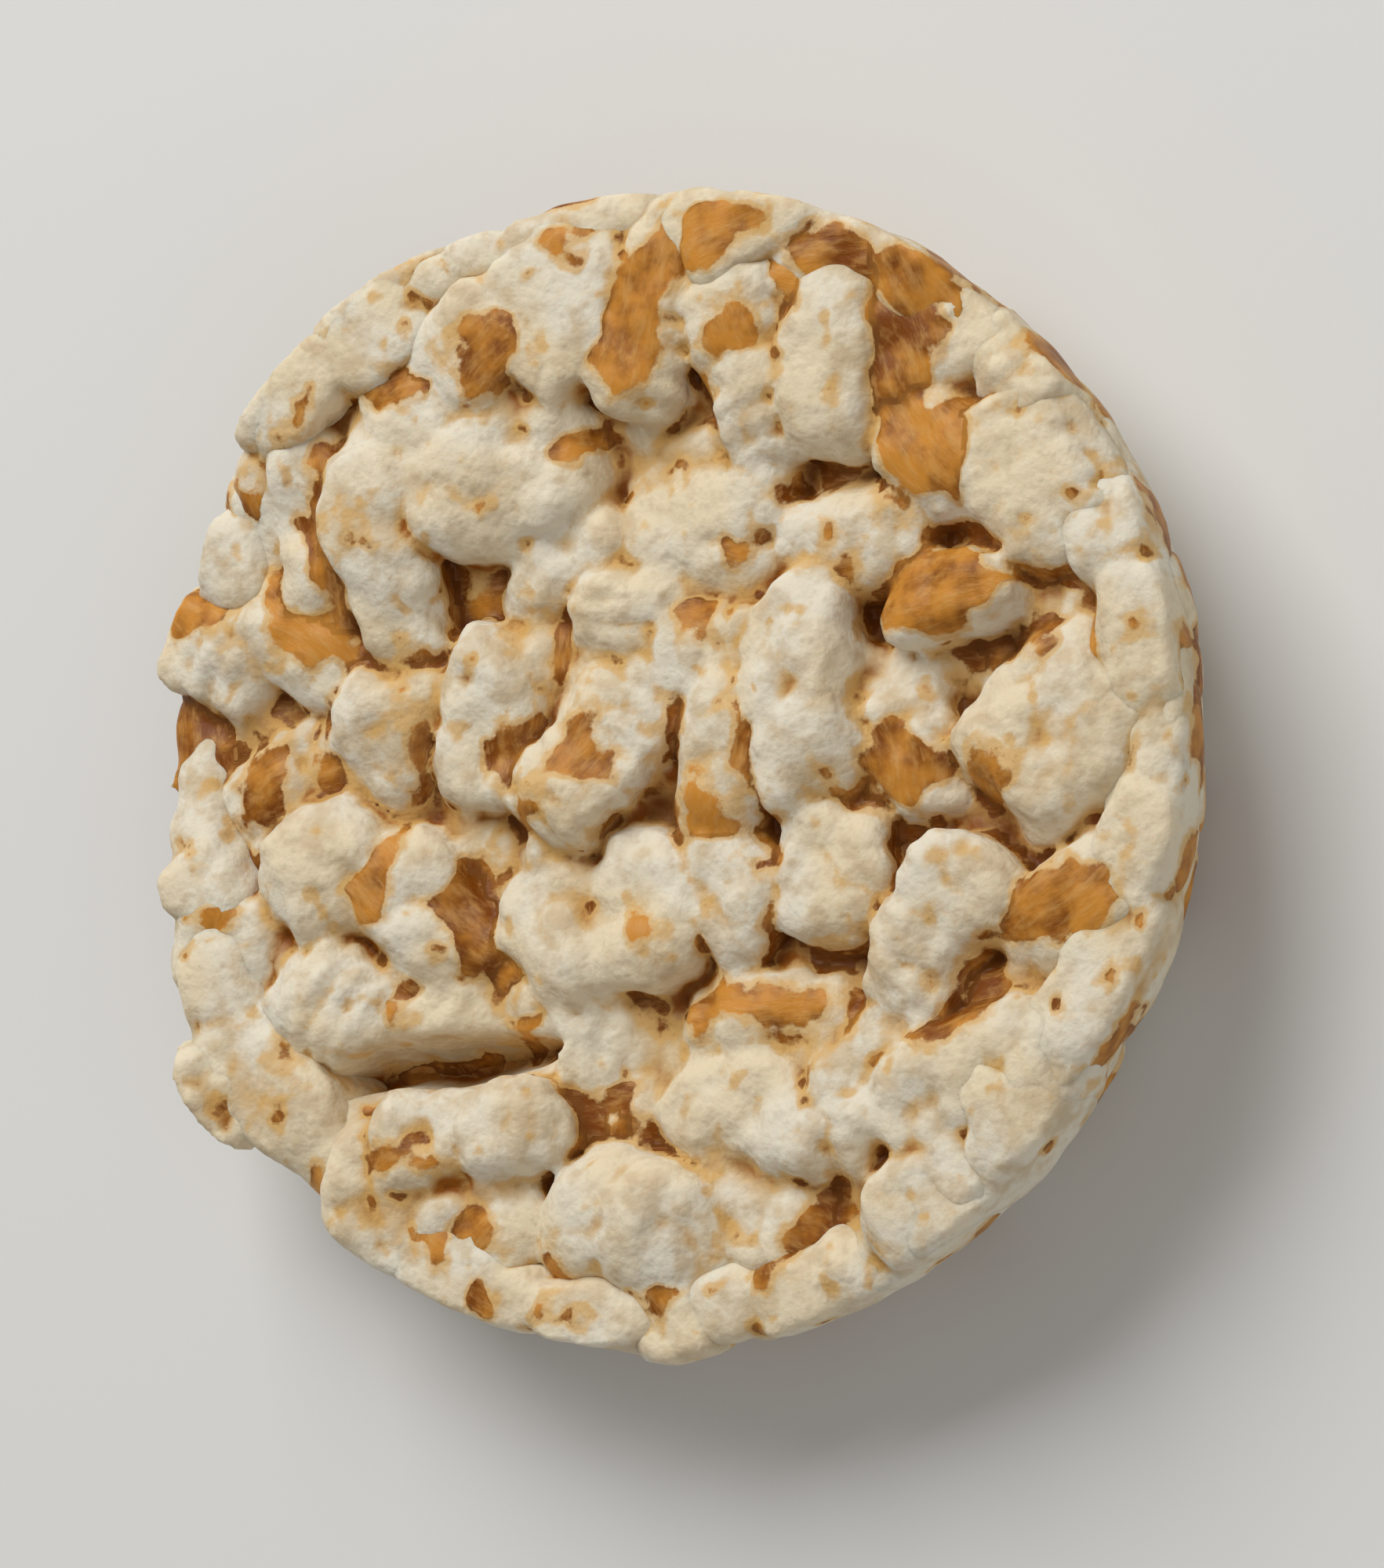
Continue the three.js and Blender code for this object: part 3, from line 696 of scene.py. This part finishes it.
def per_vertex(values):
    """Grid values of shape (grids, rows, columns, ...) as one row for each vertex, with one for each pole."""
    flat = values[:, 1:-1].reshape(len(values), -1, *values.shape[3:])
    ends = [values[:, :1, 0], flat, values[:, -1:, 0]]
    return np.concatenate(ends, axis=1).reshape(-1, *values.shape[3:]).astype(np.float32)


def grown_mesh():
    """All the closed grids grown so far as one mesh, with their fields as its attributes."""
    mesh = bpy.data.meshes.new("grains")
    parts = [per_vertex(points) for points, fields in grown]
    corners = np.concatenate(parts) / 1000
    mesh.vertices.add(len(corners))
    mesh.vertices.foreach_set("co", corners.ravel())
    sheets = [grid_faces(*points.shape[:3]) for points, fields in grown]
    starts = np.cumsum([0] + [len(part) for part in parts[:-1]])
    quads = np.concatenate([quads + start for (quads, fans), start in zip(sheets, starts)])
    fans = np.concatenate([fans + start for (quads, fans), start in zip(sheets, starts)])
    mesh.loops.add(quads.size + fans.size)
    mesh.loops.foreach_set("vertex_index", np.concatenate([quads.ravel(), fans.ravel()]).astype(np.int32))
    mesh.polygons.add(len(quads) + len(fans))
    loops = np.concatenate([4 * np.arange(len(quads)), quads.size + 3 * np.arange(len(fans))])
    mesh.polygons.foreach_set("loop_start", loops.astype(np.int32))
    for name, (kind, key) in FIELDS.items():
        values = np.concatenate([per_vertex(fields[name]) for points, fields in grown])
        mesh.attributes.new(name, kind, "POINT").data.foreach_set(key, values.ravel())
    mesh.update(calc_edges=True)
    return mesh


def wire(tree, kind, sockets=(), **settings):
    """Adds a node with these settings, and links or sets each named or numbered input."""
    made = tree.nodes.new(kind)
    for name, value in settings.items():
        setattr(made, name, value)
    for name, value in dict(sockets).items():
        if isinstance(value, bpy.types.NodeSocket):
            tree.links.new(value, made.inputs[name])
        else:
            made.inputs[name].default_value = value
    return made


def maths(tree, operation, *values):
    """The result of a sum on values. MULTIPLY_ADD multiplies the first two and adds the third."""
    return wire(tree, "ShaderNodeMath", dict(enumerate(values)), operation=operation).outputs[0]


def new_group(name, inputs, outputs, tree="ShaderNodeTree"):
    """An empty node group with these sockets, given as name and kind, and its inner inputs and outputs."""
    group = bpy.data.node_groups.new(name, tree)
    for in_out, pairs in (("INPUT", inputs), ("OUTPUT", outputs)):
        for socket, kind in pairs.items():
            group.interface.new_socket(socket, in_out=in_out, socket_type=f"NodeSocket{kind}")
    return group, wire(group, "NodeGroupInput").outputs, wire(group, "NodeGroupOutput").inputs


def blurred(tree, value, rounds, kind="FLOAT"):
    """A field in which each point has taken the mean of its neighbours this many times."""
    sockets = {"Value": value, "Iterations": rounds}
    return wire(tree, "GeometryNodeBlurAttribute", sockets, data_type=kind).outputs[0]


def fields_group(grains):
    """Geometry nodes for a melted skin. They drop the sealed bubbles inside it, carry over the fields of the
    grains it came from, and add how far each point lies under its blurred surroundings, near and wide."""
    sockets = {"Skin": "Geometry"}
    group, given, out = new_group("grain_fields", sockets, sockets, "GeometryNodeTree")
    island = wire(group, "GeometryNodeInputMeshIsland").outputs["Island Index"]
    counted = {"Value": 1.0, "Group ID": island}
    size = wire(group, "GeometryNodeAccumulateField", counted).outputs["Total"]
    small = wire(group, "FunctionNodeCompare", {0: size, 1: SEALED_BUBBLE}, operation="LESS_THAN").outputs[0]
    dropped = {"Geometry": given["Skin"], "Selection": small}
    skin = wire(group, "GeometryNodeDeleteGeometry", dropped).outputs[0]
    source = wire(group, "GeometryNodeObjectInfo", {"Object": grains}).outputs["Geometry"]
    values = {}
    for name, (kind, key) in FIELDS.items():
        own = wire(group, "GeometryNodeInputNamedAttribute", {"Name": name}, data_type=kind).outputs[0]
        there = {"Mesh": source, "Value": own}
        found = wire(group, "GeometryNodeSampleNearestSurface", there, data_type=kind).outputs[0]
        values[name] = blurred(group, found, FIELD_BLUR[name], kind)
    place = wire(group, "GeometryNodeInputPosition").outputs[0]
    normal = wire(group, "GeometryNodeInputNormal").outputs[0]
    for name, rounds in HOLLOWS.items():
        around = blurred(group, place, rounds, "FLOAT_VECTOR")
        above = wire(group, "ShaderNodeVectorMath", {0: around, 1: place}, operation="SUBTRACT").outputs[0]
        under = wire(group, "ShaderNodeVectorMath", {0: above, 1: normal}, operation="DOT_PRODUCT")
        under = under.outputs["Value"]
        deeper = maths(group, "SUBTRACT", under, blurred(group, under, 6 * rounds))
        values[name] = maths(group, "MULTIPLY", deeper, 1000.0)
    for name, value in values.items():
        kind = FIELDS.get(name, ("FLOAT",))[0]
        stored = {"Geometry": skin, "Name": name, "Value": value}
        skin = wire(group, "GeometryNodeStoreNamedAttribute", stored, data_type=kind, domain="POINT")
        skin = skin.outputs[0]
    group.links.new(skin, out["Skin"])
    return group


def melted(name, voxel, rounds):
    """Runs the shapes grown so far together into one closed skin, at this size of voxel in millimetres, and
    smooths it, so that kernels are fused where they touch."""
    grains = bpy.data.objects.new("grains", grown_mesh())
    piece = bpy.data.objects.new(name, grains.data)
    for shape in (grains, piece):
        bpy.context.scene.collection.objects.link(shape)
    melt = piece.modifiers.new("melt", "REMESH")
    melt.mode = "VOXEL"
    melt.voxel_size = voxel / 1000
    melt.use_smooth_shade = True
    soften = piece.modifiers.new("soften", "SMOOTH")
    soften.iterations = rounds
    piece.modifiers.new("carry", "NODES").node_group = fields_group(grains)
    graph = bpy.context.evaluated_depsgraph_get()
    skin = bpy.data.meshes.new_from_object(piece.evaluated_get(graph), depsgraph=graph)
    skin.name = name
    piece.modifiers.clear()
    piece.data = skin
    skin.materials.clear()
    skin.materials.append(grain_material)
    bpy.data.node_groups.remove(bpy.data.node_groups["grain_fields"])
    bpy.data.meshes.remove(grains.data)
    grown.clear()
    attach(piece, "root")
    return piece


def blend_colours(tree, share, first, second):
    """A colour between two others."""
    return wire(tree, "ShaderNodeMix", {0: share, 6: first, 7: second}, data_type="RGBA").outputs[2]


def blend_values(tree, share, first, second):
    """A value between two others."""
    return wire(tree, "ShaderNodeMix", {0: share, 2: first, 3: second}).outputs[0]


def eased(tree, value, low, high, to_low=0.0, to_high=1.0):
    """Carries a value smoothly from one range to another."""
    sockets = {"Value": value, 1: low, 2: high, 3: to_low, 4: to_high}
    return wire(tree, "ShaderNodeMapRange", sockets, interpolation_type="SMOOTHSTEP").outputs[0]


def tinted(tree, colour, tint, value, low, high, most=1.0):
    """Turns a colour into a tint as a value climbs from low to high, but not further than this share."""
    return blend_colours(tree, eased(tree, value, low, high, 0, most), colour, tint)


def noise(tree, place, size, detail=2.0, rough=0.5):
    """Noise from 0 to 1 whose lumps are about this many millimetres across."""
    sockets = {"Vector": place, "Scale": 1 / size, "Detail": detail, "Roughness": rough}
    return wire(tree, "ShaderNodeTexNoise", sockets).outputs["Fac"]


def foam_group():
    """Puffed starch: each kernel white to cream, mottled and full of small bubbles. Painted shade turns it
    golden and then brown in its creases and where it is deep in the cake."""
    inputs = {"Place": "Vector", "Gap": "Float", "Crease": "Float"}
    group, given, out = new_group("puffed_foam", inputs, {"Colour": "Color", "Height": "Float"})
    place = given["Place"]
    colour = tinted(group, FOAM_WHITE, FOAM_CREAM, noise(group, place, 5, 1), 0.38, 0.6)
    mottle = maths(group, "ADD", noise(group, place, 1.0, 3), noise(group, place, 3.2, 2))
    colour = tinted(group, colour, FOAM_MOTTLE, mottle, 0.9, 1.25, 0.8)
    bubbles = wire(group, "ShaderNodeTexVoronoi", {"Vector": place, "Scale": 1 / BUBBLE}, feature="F1")
    bubble = eased(group, bubbles.outputs["Distance"], 0.05, 0.6, 1, 0)
    spots = maths(group, "MULTIPLY", bubble, noise(group, place, 1.1, 2))
    colour = tinted(group, colour, FOAM_BUBBLE, spots, 0.2, 0.6, 0.25)
    # Painted shade: golden and then brown in the creases between lobes and deeper in the gaps, wobbling with
    # noise.
    shade_wobble = noise(group, place, 3.0, 3)
    crease_shade = maths(group, "MULTIPLY_ADD", shade_wobble, 0.3, given["Crease"])
    sunk = maths(group, "MULTIPLY_ADD", shade_wobble, 0.9, given["Gap"])
    colour = tinted(group, colour, FOAM_GOLDEN_SHADE, crease_shade, 0.18, 0.27, 0.7)
    colour = tinted(group, colour, FOAM_GOLDEN_SHADE, sunk, 0.5, 0.8, 0.7)
    colour = tinted(group, colour, FOAM_BROWN_SHADE, crease_shade, 0.24, 0.32, 0.9)
    colour = tinted(group, colour, FOAM_BROWN_SHADE, sunk, 0.72, 1.0)
    group.links.new(colour, out["Colour"])
    lumps = blend_values(group, 0.75, noise(group, place, 0.25, 3, 0.6), noise(group, place, 0.8, 2))
    group.links.new(blend_values(group, 0.88, bubble, lumps), out["Height"])
    return group


def bran_group():
    """The bran coat: orange-brown, streaked along the kernel and mottled, with a ragged edge. It reaches
    further in hollows, where painted shade darkens it, is worn off the tops, and leaves small flecks on bare
    foam."""
    numbers = ("Inside", "Tone", "Gap", "Crease")
    inputs = {"Place": "Vector", "Grain": "Vector", **dict.fromkeys(numbers, "Float")}
    outputs = {"Mask": "Float", "Stain": "Float", "Colour": "Color", "Height": "Float"}
    group, given, out = new_group("bran_coat", inputs, outputs)
    place = given["Place"]
    fleck = maths(group, "MULTIPLY_ADD", noise(group, place, 1.5, 1), 3.0, -2.22)
    inside = maths(group, "MAXIMUM", given["Inside"], fleck)
    inside = maths(group, "MULTIPLY_ADD", given["Crease"], 2.0, inside)
    inside = maths(group, "MULTIPLY_ADD", given["Gap"], 0.5, inside)
    inside = maths(group, "SUBTRACT", inside, 0.1)
    ragged = maths(group, "MULTIPLY_ADD", noise(group, place, 0.35, 4, 0.7), 0.5, -0.25)
    torn = maths(group, "MULTIPLY_ADD", noise(group, place, 1.2, 1), 1.6, -0.8)
    edge = maths(group, "ADD", maths(group, "ADD", inside, ragged), torn)
    lengthwise = wire(group, "ShaderNodeMapping", {"Vector": given["Grain"], "Scale": STREAK_STRETCH})
    streaks = noise(group, lengthwise.outputs[0], STREAK_WIDTH, 4, 0.65)
    tone = maths(group, "MULTIPLY_ADD", noise(group, place, 1.3, 3), 2.6, given["Tone"])
    tone = maths(group, "ADD", tone, eased(group, edge, 0, 0.5, -0.95, -0.85))
    # Painted shade: the bran is darker deep in the gaps.
    tone = maths(group, "MULTIPLY_ADD", given["Gap"], -0.9, tone)
    rich = tinted(group, BRAN_DARK, BRAN_BRIGHT, tone, 0.3, 1.5)
    streaked = tinted(group, rich, BRAN_STREAK, streaks, 0.42, 0.72, 0.55)
    group.links.new(eased(group, edge, -0.06, 0.12), out["Mask"])
    group.links.new(eased(group, edge, -0.8, 0.1), out["Stain"])
    group.links.new(streaked, out["Colour"])
    group.links.new(streaks, out["Height"])
    return group


def puffed_grain():
    """Dry, slightly see-through foam with satin bran on it. Deep in the gaps painted shade turns both brown.
    """
    material = bpy.data.materials.new("puffed_grain")
    material.use_nodes = True
    tree = material.node_tree
    tree.nodes.clear()
    metres = wire(tree, "ShaderNodeTexCoord").outputs["Object"]
    millimetres = {0: metres, 1: (1000, 1000, 1000)}
    place = wire(tree, "ShaderNodeVectorMath", millimetres, operation="MULTIPLY").outputs[0]
    grain = wire(tree, "ShaderNodeAttribute", attribute_name="grain").outputs["Vector"]
    inside, tone, gap, crease = (
        wire(tree, "ShaderNodeAttribute", attribute_name=name).outputs["Fac"]
        for name in ("inside", "tone", "gap", "crease")
    )
    hollows = {"Place": place, "Gap": gap, "Crease": crease}
    coat = {**hollows, "Grain": grain, "Inside": inside, "Tone": tone}
    foam = wire(tree, "ShaderNodeGroup", hollows, node_tree=foam_group())
    bran = wire(tree, "ShaderNodeGroup", coat, node_tree=bran_group())
    mask = bran.outputs["Mask"]
    stain = maths(tree, "MULTIPLY", bran.outputs["Stain"], noise(tree, place, 0.9, 2))
    stained = tinted(tree, foam.outputs["Colour"], FOAM_BY_BRAN, stain, 0.08, 0.45, 0.75)
    colour = blend_colours(tree, mask, stained, bran.outputs["Colour"])
    # Painted shade: deep in the gaps every colour turns dark brown.
    shaded = tinted(tree, colour, DEEP_BROWN_SHADE, gap, 0.35, 0.8, 0.95)
    bran_height = blend_values(tree, 0.3, 0.5, bran.outputs["Height"])
    height = blend_values(tree, mask, foam.outputs["Height"], bran_height)
    bump = wire(tree, "ShaderNodeBump", {"Height": height, "Strength": 0.55, "Distance": 0.0004})
    foam_roughness = eased(tree, noise(tree, place, 1.2, 2), 0.35, 0.65, 0.45, 0.8)
    sockets = {
        "Base Color": shaded,
        "Roughness": blend_values(tree, mask, foam_roughness, BRAN_ROUGHNESS),
        "Normal": bump.outputs[0],
        "Subsurface Weight": 0.3,
        "Subsurface Radius": (0.0009, 0.0006, 0.0004),
        "Subsurface Scale": 1.0,
        "Specular IOR Level": 0.18,
    }
    shader = wire(tree, "ShaderNodeBsdfPrincipled", sockets)
    wire(tree, "ShaderNodeOutputMaterial", {"Surface": shader.outputs[0]})
    return material


grain_material = puffed_grain()
piece = melted("face", voxel=0.275, rounds=1)
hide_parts("puffed_cake")

# ---- The kernels of the back ----
# The underside is the same foam, pressed flat where it lay on the lower die and rounded up towards the wall.
# Large kernels are laid first, and smaller ones fill what they leave bare.

BACK_HEIGHT = -0.35
BACK_CLIMB = 3.6
BACK_LEVEL = 18  # the back is flat inside this radius
BACK_SMALL_SIZES = {"length": (4.6, 7.4), "width": (3.6, 4.8), "lift": (-1.0, 0.0)}


def back_height(x, y):
    """Level in the middle, then a smooth climb towards the wall."""
    return BACK_HEIGHT + BACK_CLIMB * smooth_step(BACK_LEVEL, CAKE_RADIUS, np.hypot(x, y))


back_rows = []
fill_disc(back_rows, draw, spots=420, fill_radius=20.6, cover=1.8)
fill_disc(back_rows, draws(SEED + 2), spots=700, fill_radius=22.5, cover=0.95, **BACK_SMALL_SIZES)
back = table_of(back_rows)
grow_kernels(back, back_height, -1, random_coats(back, seed=12), seed=41, rings=24, sides=24, slack=0.2)
melted("back", voxel=0.3, rounds=3)

# ---- The rim ----
# Along the top of the wall the mould pressed a ring of kernels flush both outside and on top, so that each
# shows as a short flat stretch of foam or bran. There are none where the rim has crumbled.

RIM_KERNELS = 34
RIM_SCATTER = 0.3  # of the spacing between them
RIM_MIDDLE = (22.7, 23.5)
RIM_LENGTH = (5.0, 7.4)
RIM_WIDTH = (3.2, 4.4)
RIM_TURN = 35  # degrees from lying along the rim
RIM_LIFT = (-0.3, 0.45)
NOTCH_MARGIN = 1.2  # kernels of the rim and the wall keep this clear of the notch

rim_draw = np.random.default_rng(61)
rim = np.zeros(RIM_KERNELS, KERNEL)
scatter = rim_draw.uniform(-RIM_SCATTER, RIM_SCATTER, RIM_KERNELS)
rim_angle = 2 * pi * (np.arange(RIM_KERNELS) + scatter) / RIM_KERNELS
rim_middle = rim_draw.uniform(*RIM_MIDDLE, RIM_KERNELS)
rim["x"], rim["y"] = rim_middle * np.cos(rim_angle), rim_middle * np.sin(rim_angle)
rim["length"] = rim_draw.uniform(*RIM_LENGTH, RIM_KERNELS)
rim["width"] = rim_draw.uniform(*RIM_WIDTH, RIM_KERNELS)
rim["heading"] = np.degrees(rim_angle) + 90 + rim_draw.uniform(-RIM_TURN, RIM_TURN, RIM_KERNELS)
rim["lift"] = rim_draw.uniform(*RIM_LIFT, RIM_KERNELS)
rim = rim[(lip_share(rim_angle) > 0.5) & ~in_notch(rim["x"], rim["y"], NOTCH_MARGIN)]
rim_coats = random_coats(rim, seed=63, likely=0.75)
grow_kernels(rim, face_height, 1, rim_coats, seed=62, rings=36, sides=36, slack=0.2)

# ---- The kernels of the wall ----
# Kernels that met the mould's wall, which pressed them flush. Lower down they bulge where they had room. They
# stay lower along the crumbled edge. The rim's kernels are fused with them.

WALL_LOW = 3.2
WALL_HIGH = 7.8
WALL_CRUMBLED = 0.55  # share of their height that kernels keep along the crumbled edge
WALL_PRESS = 0.05
WALL_SLACK = 0.6
WALL_LINING = (-2.2, -0.8)
WALL_ABOVE_FACE = 0.2


def fill_wall(kernels, draw, spots, cover, low, high):
    """The same as fill_disc, on the wall unrolled: x runs round it and y up it."""
    length = 2 * pi * CAKE_RADIUS
    for spot in range(spots):
        x = length * (spot * GOLDEN_ANGLE / (2 * pi) % 1)
        y = low + (high - low) * (spot + 0.5) / spots
        if not any(covers(kernel, cover, x + lap, y) for kernel in kernels for lap in (-length, 0, length)):
            kernels.append(drawn_kernel(draw, x, y))


def standing(points, kernels, radius, angle, z):
    """Stands each kernel on the wall with its upper side outwards and square to the wall's lean, turned to
    its heading there."""
    share = np.clip(1 - z / FLUSH_HEIGHT, 0, 1) ** (SIDE_CURVE - 1)
    lean = np.arctan(BASE_INSET / FLUSH_HEIGHT * SIDE_CURVE * share)
    columns = (np.radians(kernels["heading"]), radius, angle, z, lean)
    heading, radius, angle, z, lean = (column[:, None, None] for column in columns)
    ahead, aside, proud = np.moveaxis(points, -1, 0)
    level = ahead * np.cos(heading) - aside * np.sin(heading)
    rise = ahead * np.sin(heading) + aside * np.cos(heading)
    out = proud * np.cos(lean) + rise * np.sin(lean) + radius
    x = out * np.cos(angle) - level * np.sin(angle)
    y = out * np.sin(angle) + level * np.cos(angle)
    z = rise * np.cos(lean) - proud * np.sin(lean) + z
    return np.stack([x, y, z], axis=-1)


wall_rows = []
fill_wall(wall_rows, draw, spots=260, cover=1.6, low=WALL_LOW, high=WALL_HIGH)
fill_wall(wall_rows, draws(SEED + 3), spots=500, cover=1.0, low=2.2, high=8.4)
wall = np.array(wall_rows, KERNEL)
wall_angle = wall["x"] / CAKE_RADIUS
wall_z = between((WALL_LOW, wall["y"]), between((WALL_CRUMBLED, 1), rim_share(wall_angle)))
wall_reach = wall_radius(wall_angle) - side_inset(wall_z) + WALL_PRESS - KERNEL_FLATNESS * wall["width"] / 2
keep = ~in_notch(wall_reach * np.cos(wall_angle), wall_reach * np.sin(wall_angle), NOTCH_MARGIN)
wall, wall_angle, wall_z, wall_reach = (column[keep] for column in (wall, wall_angle, wall_z, wall_reach))
wall_coats = random_coats(wall, seed=15, likely=0.6)
points, fields = popped_kernels(wall, wall_coats, rings=28, sides=28, seed=51, lining=WALL_LINING)
points = standing(points, wall, wall_reach, wall_angle, wall_z)
points = pressed(points, np.random.default_rng(52).uniform(0, WALL_SLACK, (len(wall), 1, 1)))
highest = face_height(points[..., 0], points[..., 1]) + WALL_ABOVE_FACE
points[..., 2] = yielding(points[..., 2], highest)
grown.append((points, fields))
melted("wall", voxel=0.27, rounds=1)

# ---- The table, the light and the camera ----
# A pale matt table, a large soft window light from the far side and a weak one from the near side. Lengths
# here are in metres, and the camera looks down on the face from the side of the whole rim.

table_material = bpy.data.materials.new("pale_table")
table_material.use_nodes = True
table_shader = table_material.node_tree.nodes["Principled BSDF"]
table_shader.inputs["Base Color"].default_value = (0.72, 0.72, 0.71, 1)
table_shader.inputs["Roughness"].default_value = 0.7
table_mesh = bpy.data.meshes.new("table")
table_mesh.from_pydata([(-1, -1, 0), (1, -1, 0), (1, 1, 0), (-1, 1, 0)], [], [(0, 1, 2, 3)])
table_mesh.materials.append(table_material)
table_top = bpy.data.objects.new("table", table_mesh)
bpy.context.scene.collection.objects.link(table_top)


def turned_towards(back, up):
    """The turn of a camera or lamp whose back points this way and whose top is as near as can be to up."""
    back = Vector(back).normalized()
    right = Vector(up).cross(back).normalized()
    return Matrix((right, back.cross(right), back)).transposed().to_euler()


def add_lamp(name, direction, distance, size, power, colour):
    """A square soft light that shines at the cake from this direction."""
    lamp = bpy.data.lights.new(name, "AREA")
    lamp.size = size
    lamp.energy = power
    lamp.color = colour
    placed = bpy.data.objects.new(name, lamp)
    placed.location = Vector(direction).normalized() * distance
    placed.rotation_euler = turned_towards(direction, (0, 0.1, 1))
    bpy.context.scene.collection.objects.link(placed)


add_lamp("window", (-0.3, 0.75, 0.8), distance=0.7, size=0.5, power=4.4, colour=(1, 0.985, 0.96))
add_lamp("fill", (0.7, -0.5, 0.9), distance=0.9, size=0.8, power=1.4, colour=(1, 0.985, 0.97))

world = bpy.data.worlds.new("studio")
world.use_nodes = True
world.node_tree.nodes["Background"].inputs["Color"].default_value = (1, 0.99, 0.97, 1)
world.node_tree.nodes["Background"].inputs["Strength"].default_value = 0.24
bpy.context.scene.world = world
bpy.context.scene.view_settings.view_transform = "Standard"

CAMERA_LEAN = 26.7  # degrees from straight above, towards the rim's whole side
CAMERA_NEAR = 6  # and towards the front
CAMERA_DISTANCE = 0.33
CAMERA_AIM = (0.001, -0.0005, 0.006)
camera = bpy.data.cameras.new("camera")
camera.lens = 180
lean, near = radians(CAMERA_LEAN), radians(CAMERA_NEAR)
view_from = Vector((sin(lean), -sin(near), cos(lean))).normalized()
camera_stand = bpy.data.objects.new("camera", camera)
camera_stand.location = Vector(CAMERA_AIM) + view_from * CAMERA_DISTANCE
camera_stand.rotation_euler = turned_towards(view_from, (0, 1, 0))
bpy.context.scene.collection.objects.link(camera_stand)
bpy.context.scene.camera = camera_stand
